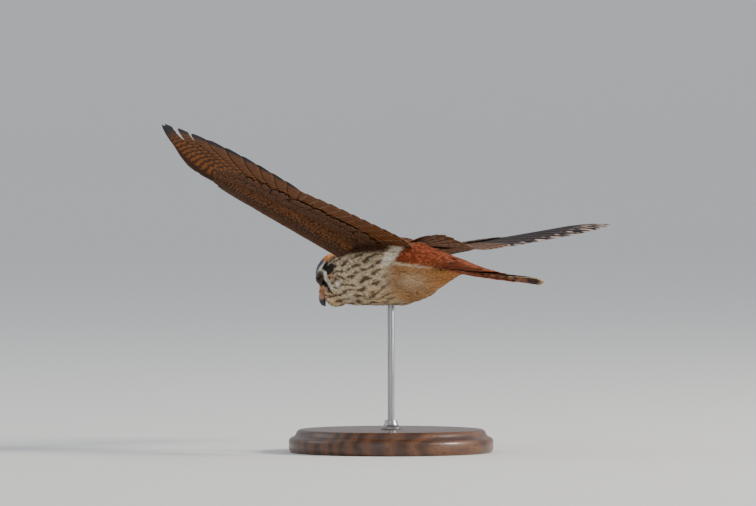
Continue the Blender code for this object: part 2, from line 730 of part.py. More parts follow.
def main():
    clear_scene()
    collection = bpy.data.collections.new("american_kestrel")
    bpy.context.scene.collection.children.link(collection)
    bird = bpy.data.objects.new("bird", None)
    collection.objects.link(bird)
    bird.location = (0, 0, TRUNK_HEIGHT)
    bank = Matrix.Rotation(-math.radians(BANK), 4, "Y")
    nose = Matrix.Rotation(math.radians(NOSE_DOWN), 4, "X")
    bird.rotation_euler = (bank @ nose).to_euler()
    bpy.context.view_layer.update()
    body = new_material("plumage", (0.42, 0.25, 0.13), 0.85)
    vane = new_material("flight_feathers", (0.30, 0.16, 0.09), 0.7)
    horn = new_material("horn", (0.05, 0.055, 0.07), 0.35)
    bare = new_material("bare_skin", (0.75, 0.52, 0.12), 0.5)
    eye = new_material("eye", (0.02, 0.012, 0.01), 0.08)
    wood = new_material("stand_wood", (0.10, 0.055, 0.035), 0.45)
    steel = new_material("stand_steel", (0.55, 0.55, 0.56), 0.3, 1.0)
    rod_top = TRUNK_HEIGHT - 26 * MM + ROD_SINK
    make_stand(wood, steel, rod_top)
    make_bird(bird, (body, horn, bare, eye, vane), rod_top)


main()
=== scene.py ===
# %% [markdown]
# An American kestrel, female, gliding and looking straight down, on a display stand.
# The solids are already made and packed. This script loads them as a fixed frame and gives the bird its skin,
# its coat of feathers, its bill, eyes and feet, and gives the stand its wood and metal.
# %% Load the frame
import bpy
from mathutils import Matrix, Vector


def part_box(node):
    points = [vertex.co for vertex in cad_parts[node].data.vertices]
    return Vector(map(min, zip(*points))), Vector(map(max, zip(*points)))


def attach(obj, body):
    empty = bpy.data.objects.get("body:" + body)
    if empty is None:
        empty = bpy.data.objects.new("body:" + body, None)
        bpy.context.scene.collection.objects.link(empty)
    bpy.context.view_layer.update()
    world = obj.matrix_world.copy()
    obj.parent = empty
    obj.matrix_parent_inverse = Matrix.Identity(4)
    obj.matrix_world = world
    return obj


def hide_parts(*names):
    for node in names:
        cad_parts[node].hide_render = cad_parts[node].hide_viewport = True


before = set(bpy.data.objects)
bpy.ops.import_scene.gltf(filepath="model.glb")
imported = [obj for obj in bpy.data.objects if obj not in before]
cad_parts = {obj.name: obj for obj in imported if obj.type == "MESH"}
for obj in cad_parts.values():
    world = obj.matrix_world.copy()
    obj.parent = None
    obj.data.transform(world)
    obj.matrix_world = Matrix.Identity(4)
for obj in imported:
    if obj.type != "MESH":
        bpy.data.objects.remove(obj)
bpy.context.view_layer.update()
print("nodes:", len(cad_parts))

# %% [markdown]
# Blender's modules come next, with numpy for the many small sums that feathers need.
# The bird was built level and then banked, so a matrix from the bird's own frame to the world lets every
# feather be placed in the easy frame: +X is its left, -Y forward, +Z up, and the trunk's middle is zero.
# %% Modules and the bird's own frame
import math
from functools import partial

import bmesh
import bpy
import numpy as np
from mathutils import Matrix, Vector
from mathutils.bvhtree import BVHTree
from mathutils.kdtree import KDTree

MM = 0.001
TRUNK_HEIGHT = 142 * MM
BANK = math.radians(11.0)
NOSE_DOWN = math.radians(4.3)
HEAD_AT = (0, -64.5 * MM, 1.0 * MM)
HEAD_PITCH = math.radians(65.0)
HEAD_TURN = math.radians(15.0)
SIDES = ((1, "left"), (-1, "right"))

turn = Matrix.Rotation(-BANK, 4, "Y") @ Matrix.Rotation(NOSE_DOWN, 4, "X")
bird_frame = Matrix.Translation((0, 0, TRUNK_HEIGHT)) @ turn
head_turn = Matrix.Rotation(HEAD_TURN, 4, "Z") @ Matrix.Rotation(HEAD_PITCH, 4, "X")
head_frame = Matrix.Translation(HEAD_AT) @ head_turn
BIRD = np.array(bird_frame)
HEAD = np.array(head_frame)


def placed(points, frame_matrix):
    """Points, of any array shape that ends in 3, moved by a matrix."""
    return points @ frame_matrix[:3, :3].T + frame_matrix[:3, 3]


def unplaced(points, frame_matrix):
    """The way back: points of the world, told in a matrix's own frame."""
    return (points - frame_matrix[:3, 3]) @ frame_matrix[:3, :3]


print("head in the world, mm:", np.round(placed(np.array(HEAD_AT), BIRD) / MM, 1))

# %% [markdown]
# The camera stands where the photographer stood: behind the bird on its left, about level with it, far off
# behind a long lens. 756 pixels take in 0.59 m at the bird. The aim is a little right of and above the trunk,
# so that the bird sits in the picture as it does in the photograph.
# %% Camera
CAMERA_AZIMUTH = math.radians(135.4)
CAMERA_ELEVATION = math.radians(1.0)
CAMERA_DISTANCE = 6.0
PHOTO_PIXELS_ACROSS = 756
PHOTO_PIXELS_PER_METRE = 1280
PICTURE_WIDTH = PHOTO_PIXELS_ACROSS / PHOTO_PIXELS_PER_METRE
AIM_RIGHT = -0.0102
AIM_UP = 0.0137


def make_camera():
    """A long lens that looks level at the trunk, from behind the bird on its left."""
    sin_a, cos_a = math.sin(CAMERA_AZIMUTH), math.cos(CAMERA_AZIMUTH)
    sin_e, cos_e = math.sin(CAMERA_ELEVATION), math.cos(CAMERA_ELEVATION)
    back = Vector((sin_a * cos_e, -cos_a * cos_e, sin_e))
    right = Vector((cos_a, sin_a, 0))
    up = back.cross(right)
    data = bpy.data.cameras.new("camera")
    data.lens = data.sensor_width * CAMERA_DISTANCE / PICTURE_WIDTH
    data.clip_start = 0.1
    data.clip_end = 60
    camera = bpy.data.objects.new("camera", data)
    bpy.context.scene.collection.objects.link(camera)
    camera.location = bird_frame.translation + right * AIM_RIGHT + up * AIM_UP + back * CAMERA_DISTANCE
    camera.rotation_mode = "QUATERNION"
    camera.rotation_quaternion = (-back).to_track_quat("-Z", "Y")
    bpy.context.scene.camera = camera
    return camera


camera = make_camera()
print("lens:", round(camera.data.lens))

# %% [markdown]
# Small tools that most cells use. A piece is put in the world once its mesh is whole, rides on the one body,
# and says which finish it wears. Colours are written as the 0 to 255 numbers of a paint chart and turned into
# the linear values that shaders add and multiply.
# %% Helpers
def linear(red, green, blue):
    """A colour written 0 to 255, as linear values."""
    chart = np.array([red, green, blue]) / 255
    return np.where(chart <= 0.04045, chart / 12.92, ((chart + 0.055) / 1.055) ** 2.4)


def rgba(colour):
    return (*[float(c) for c in colour], 1.0)


def smooth_curve(points):
    """A smooth function through points (at, values...), for whole arrays of places at once."""
    table = np.array(points, float)
    at, values = table[:, 0], table[:, 1:]
    slopes = np.gradient(values, at, axis=0)

    def value(where):
        where = np.asarray(where, float)
        i = np.clip(np.searchsorted(at, where) - 1, 0, len(at) - 2)
        span = (at[i + 1] - at[i])[..., None]
        t = np.clip((where[..., None] - at[i][..., None]) / span, 0, 1)
        found = (2 * t**3 - 3 * t**2 + 1) * values[i] + (t**3 - 2 * t**2 + t) * slopes[i] * span
        found = found + (3 * t**2 - 2 * t**3) * values[i + 1] + (t**3 - t**2) * slopes[i + 1] * span
        return found[..., 0] if values.shape[1] == 1 else found

    return value


def ease(low, high, value):
    """A smooth step from 0 at low to 1 at high."""
    t = np.clip((value - low) / (high - low), 0, 1)
    return t * t * (3 - 2 * t)


def unit(vectors):
    return vectors / np.maximum(np.linalg.norm(vectors, axis=-1, keepdims=True), 1e-9)


def show(obj):
    bpy.context.scene.collection.objects.link(obj)


def finish_piece(obj, material, slot, *nodes):
    """Puts a piece on the body, in its material, and hides the solids that it stands for. slot is not used.
    """
    obj.data.materials.append(material)
    show(obj)
    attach(obj, "root")
    if nodes:
        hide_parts(*nodes)
    print(obj.name, len(obj.data.polygons), "faces")


# %% [markdown]
# A floor and a soft studio. The floor is one pale disc that turns up at its far rim, like a photographer's
# paper sweep, so no horizon line cuts through the wings from any side. The main light is high on the bird's
# right and behind its tail, as the sun was, but large and soft. Two weak ones fill the shade, one from the
# camera's side and one from in front of the bird.
# %% Floor and lights
SWEEP_PROFILE = ((0, 0), (9, 0), (11, 0.15), (12.5, 0.8), (13.5, 2.2), (14, 4.5))
LIGHTS_AIM = Vector((0, 0, 0.15))
# Name, place, width, power in watts and colour of each light
LIGHTS = (
    ("key", (-1.9, 2.9, 1.75), 0.9, 175, (1.0, 0.94, 0.85)),
    ("fill", (3.0, 1.6, 0.9), 2.2, 9, (0.95, 0.97, 1.0)),
    ("front", (1.6, -2.6, 2.0), 2.0, 14, (0.95, 0.97, 1.0)),
)
PAPER_COLOUR = linear(240, 239, 236)
SKY_COLOUR = linear(222, 228, 236)
SKY_STRENGTH = 0.72


def turned(name, profile, steps, merge_within):
    """An object whose profile, in radius and height, a Screw modifier turns about the upright axis."""
    mesh = bpy.data.meshes.new(name)
    mesh.from_pydata([(r, 0, z) for r, z in profile], [(i, i + 1) for i in range(len(profile) - 1)], [])
    piece = bpy.data.objects.new(name, mesh)
    screw = piece.modifiers.new("turn", "SCREW")
    screw.steps = screw.render_steps = steps
    screw.use_merge_vertices = True
    screw.merge_threshold = merge_within
    return piece


def make_floor():
    floor = turned("floor", SWEEP_PROFILE, 96, 0.1 * MM)
    show(floor)
    floor.modifiers["turn"].use_smooth_shade = True
    paper = bpy.data.materials.new("studio_paper")
    paper.use_nodes = True
    shader = paper.node_tree.nodes["Principled BSDF"]
    shader.inputs["Base Color"].default_value = rgba(PAPER_COLOUR)
    shader.inputs["Roughness"].default_value = 0.9
    floor.data.materials.append(paper)


def add_light(name, place, size, power, colour):
    data = bpy.data.lights.new(name, "AREA")
    data.shape = "DISK"
    data.size = size
    data.energy = power
    data.color = colour
    lamp = bpy.data.objects.new(name, data)
    lamp.location = place
    lamp.rotation_mode = "QUATERNION"
    lamp.rotation_quaternion = (Vector(place) - LIGHTS_AIM).to_track_quat("Z", "Y")
    show(lamp)


def make_studio():
    make_floor()
    for light in LIGHTS:
        add_light(*light)
    world = bpy.data.worlds.new("studio")
    world.use_nodes = True
    sky = world.node_tree.nodes["Background"].inputs
    sky["Color"].default_value = rgba(SKY_COLOUR)
    sky["Strength"].default_value = SKY_STRENGTH
    bpy.context.scene.world = world


make_studio()
print("lights:", [light[0] for light in LIGHTS])

# %% [markdown]
# The wing is one curved sheet in the solids: a formula turns lengths out from the shoulder and forward of it
# into a point. Flight feathers and coverts are laid out flat in those two lengths and then bent by the same
# formula, so they lie exactly where the solids say. Left and right differ: the bird is turning.
# %% The wing's surface
SHOULDER = np.array([18, -24, 11]) * MM
# Slope at the root and at the tip and the sweep, in degrees, then the lift behind the root, in mm
LEFT_WING = (21.2, 8.8, -1.3, 4)
RIGHT_WING = (16.0, 19.2, 7.2, 18)
WING_REACH = 262 * MM
WRIST_OUT = 74 * MM
HAND_END_OUT = 122 * MM
CAMBER = 0.075
TWIST = math.tan(math.radians(1.0))
ROOT_LIFT_SPAN = 34 * MM
NARROWEST_WING = 30 * MM
ARM_THICKNESS = (15 * MM, 9.5 * MM)
HAND_THICKNESS = (9.5 * MM, 3.5 * MM)
BLADE_THICKNESS = 1.5 * MM


def edge_curve(points):
    return smooth_curve([(a * MM, b * MM) for a, b in points])


leading = edge_curve(((-10, 11), (15, 21), (40, 29), (73, 37), (100, 41), (122, 40.5)))
trailing = edge_curve(((-10, -68), (20, -64), (60, -50), (100, -34), (150, -30), (200, -22), (262, 0)))
base_line = edge_curve(((-10, -8), (20, -3), (50, 7), (74, 18), (100, 24), (112, 28.5), (122, 35)))


def wing_point(side, out, forward, lift):
    """Points of a wing in the bird's frame, for arrays of lengths out and forward, and heights over it."""
    *angles, root_lift = LEFT_WING if side > 0 else RIGHT_WING
    root, tip, sweep = (math.radians(a) for a in angles)
    rate = (tip - root) / WING_REACH
    slope = root + rate * out
    across = (np.sin(slope) - math.sin(root)) / rate
    height = (math.cos(root) - np.cos(slope)) / rate
    front = leading(np.minimum(out, HAND_END_OUT))
    width = np.maximum(front - trailing(np.minimum(out, WING_REACH)), NARROWEST_WING)
    share = np.clip((front - forward) / width, 0, 1)
    rise = CAMBER * width * np.sin(math.pi * share**0.8) + TWIST * (forward - front) + lift
    rise = rise + root_lift * MM * share**2 * np.exp(-((np.maximum(out, 0) / ROOT_LIFT_SPAN) ** 2))
    x, y, z = across - np.sin(slope) * rise, -forward, height + np.cos(slope) * rise
    turned_x = math.cos(sweep) * x - math.sin(sweep) * y
    turned_y = math.sin(sweep) * x + math.cos(sweep) * y
    place = np.stack([turned_x, turned_y, z], axis=-1) + SHOULDER
    return place * np.array([side, 1, 1])


def wing_half(out, forward):
    """Half the thickness of the wing's flesh at a place, and of the feather fan behind it."""
    front, back = leading(out), base_line(out)
    along = np.clip((forward - back) / np.maximum(front - back, 1 * MM), 0, 1)
    arm = np.clip(out / WRIST_OUT, 0, 1)
    hand = np.clip((out - WRIST_OUT) / (HAND_END_OUT - WRIST_OUT), 0, 1)
    thick = ARM_THICKNESS[0] + (ARM_THICKNESS[1] - ARM_THICKNESS[0]) * arm
    thick = thick + (HAND_THICKNESS[1] - HAND_THICKNESS[0]) * hand
    fullness = 1.9 * np.sqrt(1 - along) * along**0.75
    return 0.5 * (thick * fullness + BLADE_THICKNESS * (1 - along))


for tip_side, tip_word in SIDES:
    print(tip_word, "wing tip, mm:", np.round(wing_point(tip_side, WING_REACH, 0.0, 0.0) / MM))

# %% [markdown]
# Under the feathers lies one skin over trunk, neck, head, thighs and wings, so no seam can show between the
# solids. The solids are copied, swelled by a hair to close the small gaps between them, melted into one body
# with a voxel remesh, smoothed, and pulled in by the depth of the coat. The thin wings are pulled in less.
# %% Skin
FLESH = ["trunk", "neck", "head", "thigh_left", "thigh_right"]
FLESH += [f"wing_{side}_{part}" for side in ("left", "right") for part in ("arm", "hand")]
SWELL = 0.5 * MM
SKIN_VOXEL = 1.3 * MM
COAT_DEPTH = 1.3 * MM
WING_COAT_DEPTH = 1.0 * MM
WELD = 0.01 * MM
WING_STARTS = (24 * MM, 34 * MM)


def joined_flesh():
    """One object of the flesh's solids, each swelled along its own normals."""
    body = bmesh.new()
    for name in FLESH:
        body.from_mesh(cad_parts[name].data)
    bmesh.ops.remove_doubles(body, verts=body.verts, dist=WELD)
    body.normal_update()
    for vert in body.verts:
        vert.co += vert.normal * SWELL
    mesh = bpy.data.meshes.new("joined")
    body.to_mesh(mesh)
    body.free()
    return bpy.data.objects.new("joined", mesh)


def settled(obj):
    """The mesh that an object's modifiers make."""
    show(obj)
    bpy.context.view_layer.update()
    graph = bpy.context.evaluated_depsgraph_get()
    mesh = bpy.data.meshes.new_from_object(obj.evaluated_get(graph))
    bpy.data.objects.remove(obj)
    return mesh


def vertex_table(mesh, normals=False):
    """A mesh's points, or its smooth normals at them, as an array."""
    values = np.zeros(len(mesh.vertices) * 3)
    if normals:
        mesh.vertex_normals.foreach_get("vector", values)
    else:
        mesh.vertices.foreach_get("co", values)
    return values.reshape(-1, 3)


def make_skin():
    lump = joined_flesh()
    remesh = lump.modifiers.new("melt", "REMESH")
    remesh.mode = "VOXEL"
    remesh.voxel_size = SKIN_VOXEL
    remesh.use_smooth_shade = True
    smooth = lump.modifiers.new("smooth", "SMOOTH")
    smooth.factor = 0.5
    smooth.iterations = 5
    mesh = settled(lump)
    places, normals = vertex_table(mesh), vertex_table(mesh, normals=True)
    sideways = np.abs(unplaced(places, BIRD)[:, 0])
    on_wing = ease(*WING_STARTS, sideways)
    depth = SWELL + COAT_DEPTH + (WING_COAT_DEPTH - COAT_DEPTH) * on_wing
    mesh.vertices.foreach_set("co", (places - normals * depth[:, None]).ravel())
    mesh.name = "skin"
    return bpy.data.objects.new("skin", mesh)


skin = make_skin()
print("skin faces:", len(skin.data.polygons))

# %% [markdown]
# The markings are those of a female American kestrel: slate crown, buff nape with a dark false eye on each
# side, two dark bars down a white face, cream breast and flanks streaked with brown, buff vent, rufous back
# with black bars, plain rufous rump. They are functions of a place on the bird, in millimetres, so the
# skin and every feather ask the same functions, and the feathers cannot disagree with the skin under them.
# Light and shade are painted into some of these colours too: the vent and the undersides of the wings are
# darker, as in shade, and there are pale sunlit patches on the flank.
# First come the colours, and two helpers: one lays colours over others, one makes a soft round spot.
# %% Colours of the plumage
CREAM = linear(208, 190, 158)
BUFF = linear(212, 166, 110)
# Painted shade: the vent's buff is coloured brown, as in shade, and darker still lower down.
SHADED_VENT = linear(160, 106, 54)
VENT_SHADE = linear(116, 68, 34)
STREAK = linear(78, 46, 28)
RUFOUS = linear(140, 62, 30)
BACK = linear(142, 76, 42)
BLACK = linear(26, 21, 21)
SLATE = linear(98, 112, 132)
NAPE = linear(222, 156, 100)
WHITE = linear(244, 234, 214)
FOREHEAD = linear(190, 152, 116)
THROAT = linear(226, 196, 152)
# Dark marks for the undersides, also used as painted shade near the body and along the hand's edge.
UNDER_MARK_AND_SHADE = linear(50, 30, 18)
# Painted shade on the flank under the wing's root.
ARMPIT_SHADE = linear(76, 46, 26)


def layered(colours, *layers):
    """Colours with (colour, share) layers laid over them one after another."""
    for colour, share in layers:
        colours = colours + (colour - colours) * share[..., None]
    return colours


def blob(*offsets):
    """One at a place and fading to zero round it. Each offset is (distance, reach)."""
    return np.exp(-sum((distance / reach) ** 2 for distance, reach in offsets))


print("darkest and palest, as linear red:", round(BLACK[0], 3), round(WHITE[0], 3))

# %% [markdown]
# The head is measured from its own middle: side out to either side, back from the bill, up to the crown. A
# ground of white takes its colours one after another, each where a smooth step or a soft blob says, and the
# black marks go on last. What comes back is the ground colour with three strengths, for the dark streak, the
# black bars and the pale fringe that a feather there wears.
# %% Markings of the head
def head_paint(place):
    """Ground colour, and the strengths of streaks, bars and pale fringes, on the head."""
    side, back, up = np.abs(place[:, 0]), place[:, 1], place[:, 2]
    chin = ease(-7, -11, up) + ease(3, 7, back) * ease(-2, -8, up)
    crown = ease(4.2, 6.6, up + 0.16 * back) * ease(10, 6.5, back)
    nape = ease(6.2, 8.6, back + 0.12 * up) * ease(-7, -3, up)
    bar_at = 4.2 + 1.4 * np.minimum(up + 5.0, 0)
    bar_wide = 1.5 + 2.3 * ease(-9, -4, up)
    ear_bar = ease(bar_wide + 0.6, bar_wide - 0.6, np.abs(back - bar_at))
    ear_bar = ear_bar * ease(3.4, 2.0, up) * ease(-12.5, -10, up)
    moustache = ease(2.7, 1.6, np.abs(back + 8.6 - 0.12 * (up + 2)))
    moustache = moustache * ease(0.5, -1, up) * ease(-12.0, -9.5, up) * ease(3.0, 5.0, side)
    eye_line = ease(0.3, 0.6, blob((back + 6.4, 6.6), (up - 1.6, 4.6))) * ease(5, 7, side)
    false_eye = ease(0.35, 0.6, blob((side - 6.5, 2.6), (back - 11.0, 2.6), (up - 4.5, 2.8)))
    dark = np.clip(ear_bar + moustache + 0.85 * eye_line + 0.8 * false_eye, 0, 1)
    ground = layered(
        np.tile(WHITE, (len(place), 1)),
        (THROAT, chin),
        (FOREHEAD, ease(-8.5, -11.5, back) * ease(-10, -5, up)),
        (SLATE, crown),
        (RUFOUS, blob((side, 4.5), (back + 1, 5), (up - 13, 4)) * 0.7),
        (NAPE, nape),
        (BLACK, dark),
    )
    throat = ease(-8, -11, up) * ease(-13, -7, back)
    streak = (0.5 * crown + 0.3 * ease(8, 14, back) + 0.35 * throat) * (1 - dark)
    return ground, np.stack([streak, np.zeros_like(streak), np.full_like(streak, 0.15)], axis=1)


# %% [markdown]
# On the trunk the angle up from the belly's middle joins the other lengths, because the breast's streaks run
# along the body in wavy, broken lines. The rump's lower edge is a line of its own, with a painted highlight
# along it: a white line where the sun catches that edge. Painted shade darkens the flank under the wing's
# root, and the vent towards the bottom. Painted sunlight makes pale patches on the flank behind the breast
# and on the thigh.
# %% Markings of the body
def streak_lines(turn, back):
    """Long, wavy, broken lines along the breast and flanks. turn is the angle up from the belly's middle."""
    waver = 1.5 * np.sin(back / 9.0 + 2.3 * turn) + 1.0 * np.sin(back / 4.3 + 5.1 * turn)
    waver = waver + 0.8 * np.sin(13 * turn)
    line = 0.5 + 0.5 * np.cos(26 * (turn - 0.0085 * back) + waver)
    gap = 0.5 + 0.3 * np.sin(back * 0.47 + 8.0 * np.sin(4.7 * turn)) + 0.25 * np.sin(back * 0.21 + 19 * turn)
    return ease(0.42, 0.8, line) * ease(0.12, 0.45, gap)


def under_wing(place):
    """How surely a place on the flank, in millimetres, lies below the root of the wing."""
    out = (np.abs(place[:, 0]) - 18) / 0.95 * MM
    forward = -(place[:, 1] + 24) * MM
    left, right = (wing_point(wing, out, forward, 0)[:, 2] for wing in (1, -1))
    over = np.where(place[:, 0] > 0, left, right)
    return ease(0.5, -2, place[:, 2] - over / MM) * ease(14, 18, np.abs(place[:, 0]))


def neck_marks(ground, side, back, up):
    """The head's marks where they run on over the side of the neck: the dark patch behind the ear, the white
    of the cheek with the dark line before it, and the pale and brown spots behind."""
    flank = ease(8, 11, side) * ease(-30, -36, back)
    cheek_at = -52.4 - 0.82 * (up + 10.6)
    low = ease(-3, -6, up)
    marks = (
        (STREAK, 0.8 * blob((back + 40, 6), (up + 9, 3))),
        (WHITE, blob((back + 37.5, 5), (up + 12.2, 2.2))),
        (NAPE, 0.6 * ease(0.3, 0.6, blob((back + 46, 4), (up + 5, 4)))),
        (WHITE, low * ease(3.6, 2.2, np.abs(back - cheek_at)) * ease(-16, -14, up)),
        (BLACK, low * ease(1.9, 1.0, np.abs(back - cheek_at + 5)) * ease(-18.5, -16.5, up)),
        (BLACK, ease(0.3, 0.5, blob((back + 51, 12), (up - 1, 4.6)))),
    )
    return layered(ground, *((colour, share * flank) for colour, share in marks))


def rump_fall(back):
    """How far the rump's lower edge, in millimetres, has come down at a place along the body."""
    return 0.13 * np.maximum(back - 20, 0) + 0.3 * np.maximum(back - 66, 0)


def body_paint(place, facing):
    """What head_paint gives, for trunk, neck and thighs. facing is how far the surface looks upward."""
    side, back, up = np.abs(place[:, 0]), place[:, 1], place[:, 2]
    turn = np.arctan2(side, -up)
    droop = 2.0 - rump_fall(back)
    rump = ease(22.5, 26.5, back - 0.35 * up) * ease(droop - 0.8, droop + 1.2, up)
    top = ease(-0.1, 0.3, facing)
    under = under_wing(place)
    mantle = ease(10, 14, up - 0.1 * np.minimum(back, 0)) * (1 - rump) * top * (1 - under)
    # Painted shade: the flank under the wing's root is coloured darker, with faint bars.
    armpit_shade = ease(20, 25, side) * ease(6, 10, up) * (1 - top) + under * ease(8, 12, up)
    armpit_shade = np.clip(armpit_shade, 0, 1) * ease(20, 12, back)
    vent = ease(12, 30, back) * ease(8, -6, up)
    # Painted sunlight: pale patches on the flank behind the breast and on the thigh.
    sunlit_flank_patch = ease(0.3, 0.6, blob((side - 20, 9), (back - 0.5 * up - 17, 7), (up - 6, 11)))
    sunlit_thigh_patch = blob((side - 14, 12), (back - 38, 14), (up + 13, 7))
    # Painted highlight: a white line along the rump's lower edge, where the sun catches it.
    sunlit_seam = np.exp(-(((up - droop + 1.2) / 0.6) ** 2)) * ease(22, 27, back) * ease(58, 46, back)
    breast = ease(26, 10, back) * ease(-66, -54, back) * (1 - np.clip(mantle + rump, 0, 1))
    breast = breast * (1 - 0.6 * ease(0.5, 0.1, turn) * ease(-5, 10, back)) * (1 - armpit_shade)
    breast = breast * (1 - 0.9 * sunlit_flank_patch)
    ground = layered(
        np.tile(CREAM, (len(place), 1)),
        # Painted shade: the vent coloured brown, and darker still towards the bottom.
        (SHADED_VENT, vent),
        (VENT_SHADE, vent * ease(-6, -19, up + 0.25 * (back - 30))),
        (BUFF, 0.35 * ease(-12, -22, up) * ease(-30, 0, back)),
        (THROAT, ease(-40, -54, back) * ease(-8, -14, up)),
        (NAPE, ease(-34, -44, back) * ease(6, 12, up) * 0.7 * top),
        (WHITE, 0.6 * sunlit_seam),
        (RUFOUS, rump),
        (BACK, mantle * ease(-50, -40, back)),
        (CREAM, 0.5 * sunlit_thigh_patch * (1 - rump)),
        (WHITE, 0.8 * sunlit_flank_patch * (1 - rump)),
        (ARMPIT_SHADE, armpit_shade),
        (STREAK, 0.9 * breast * streak_lines(turn, back)),
    )
    ground = neck_marks(ground, side, back, up)
    streak = 0.22 * breast + 0.25 * armpit_shade + 0.2 * vent
    bars = mantle * 0.9 + rump * 0.1 + armpit_shade * 0.3
    fringe = 0.3 * mantle + 0.12 * rump + 0.1 + 0.25 * vent
    return ground, np.stack([streak, bars, fringe], axis=1)


def paint(place, facing):
    """Ground colours and patterns for places in the bird's frame, in metres."""
    on_head = unplaced(place, HEAD) / MM
    reach = np.linalg.norm(on_head * np.array([1, 0.95, 1]), axis=1)
    is_head = ease(18.5, 15.8, reach)
    head_ground, head_pattern = head_paint(on_head)
    ground, pattern = body_paint(place / MM, facing)
    ground = ground + (head_ground - ground) * is_head[:, None]
    return ground, pattern + (head_pattern - pattern) * is_head[:, None]


breast_spot = np.array([[0, -30, -22.0]]) * MM
print("breast, linear colour:", np.round(paint(breast_spot, np.array([-1.0]))[0][0], 2))

# %% [markdown]
# On the wings the upper coverts are rufous with black bars near the body and darker, greyer out on the hand.
# The under coverts are buff with dark spots, painted a warm brown as in shade with sun shining through, and
# painted darker still along the hand's leading edge, as shade. Here a place is told by its lengths out and
# forward.
# %% Markings of the wings
WING_UPPER = linear(134, 78, 48)
HAND_UPPER = linear(66, 56, 56)
# Painted shade: the under coverts' buff is coloured a warm brown, as in shade with sun shining through.
WING_UNDER_SHADED = linear(104, 60, 28)


def wing_paint(out, forward, upper):
    """Ground colours and patterns for coverts."""
    hand = ease(58 * MM, 92 * MM, out)
    edge = ease(6 * MM, 1.5 * MM, leading(out) - forward)
    if upper:
        ground = layered(np.tile(WING_UPPER, (len(out), 1)), (HAND_UPPER, hand))
        pattern = [0.25 + 0.2 * hand, 0.85 - 0.6 * hand, 0.75 - 0.45 * hand]
    else:
        # Painted shade: darker along the hand's leading edge underneath.
        ground = layered(np.tile(WING_UNDER_SHADED, (len(out), 1)), (UNDER_MARK_AND_SHADE, 0.7 * edge * hand))
        pattern = [np.full_like(hand, strength) for strength in (0.3, 0.8, 0.3)]
    return layered(ground, (HAND_UPPER, 0.35 * edge)), np.stack(pattern, axis=1)


# %% [markdown]
# A feather's surface is a shaft with hundreds of barbs slanting off it, in a vane that may carry bars, a dark
# streak down the middle and a pale fringe. Each of these is a small node group that reads the feather's own
# map, across and along, so one group serves a 4 mm face feather and a 120 mm flight feather alike.
# %% Shader tools
def new_group(name, inputs, outputs):
    """A node group with named sockets. Inputs and outputs are (name, kind, start value) and (name, kind)."""
    group = bpy.data.node_groups.new(name, "ShaderNodeTree")
    for title, kind, start in inputs:
        socket = group.interface.new_socket(title, in_out="INPUT", socket_type=f"NodeSocket{kind}")
        if start is not None:
            socket.default_value = start
    for title, kind in outputs:
        group.interface.new_socket(title, in_out="OUTPUT", socket_type=f"NodeSocket{kind}")
    return group, group.nodes.new("NodeGroupInput").outputs, group.nodes.new("NodeGroupOutput").inputs


def feed(tree, socket, value):
    """Gives a socket a plain value, or links another node's output to it."""
    if isinstance(value, bpy.types.NodeSocket):
        tree.links.new(value, socket)
    else:
        socket.default_value = value


def fed(tree, node, **values):
    """Feeds a node's sockets by name, with _ for a space."""
    for title, value in values.items():
        feed(tree, node.inputs[title.replace("_", " ")], value)
    return node


def new_node(tree, kind, **values):
    return fed(tree, tree.nodes.new(f"ShaderNode{kind}"), **values)


def sums(tree, kind, *values, clamp=False):
    """One Math node. A value is a number or another node's output."""
    node = new_node(tree, "Math")
    node.operation = kind
    node.use_clamp = clamp
    for socket, value in zip(node.inputs, values):
        feed(tree, socket, value)
    return node.outputs[0]


def ramp(tree, value, low, high):
    """A smooth step from 0 at low to 1 at high."""
    node = new_node(tree, "MapRange")
    node.interpolation_type = "SMOOTHSTEP"
    return fed(tree, node, Value=value, From_Min=low, From_Max=high).outputs[0]


def mixed(tree, share, first, second, kind="MIX"):
    """One colour mixed with another."""
    node = new_node(tree, "Mix")
    node.data_type = "RGBA"
    node.blend_type = kind
    for number, value in ((0, share), (6, first), (7, second)):
        feed(tree, node.inputs[number], value)
    return node.outputs[2]


def own_space(tree):
    return new_node(tree, "TexCoord").outputs["Object"]


def noise(tree, scale, detail=3.0, vector=None, stretch=None):
    """A noise value, over the object's own space if no vector is given."""
    vector = vector or own_space(tree)
    if stretch is not None:
        vector = new_node(tree, "Mapping", Scale=stretch, Vector=vector).outputs[0]
    return new_node(tree, "TexNoise", Vector=vector, Scale=scale, Detail=detail).outputs["Fac"]


def split(tree, vector):
    return new_node(tree, "SeparateXYZ", Vector=vector).outputs


def from_shaft(tree, across):
    """How far a place is from the shaft, which runs up the middle of a feather's map."""
    return sums(tree, "ABSOLUTE", sums(tree, "SUBTRACT", across, 0.5))


# %% [markdown]
# The groups themselves. Barbs are a fine wave along the feather, slanted away from the shaft. Crossbars are a
# coarser wave with an adjustable share of dark. The streak is a lens round the shaft. Mottle is plain noise
# that keeps any colour from being flat.
# %% Feather groups
FULL_TURN = 6.283


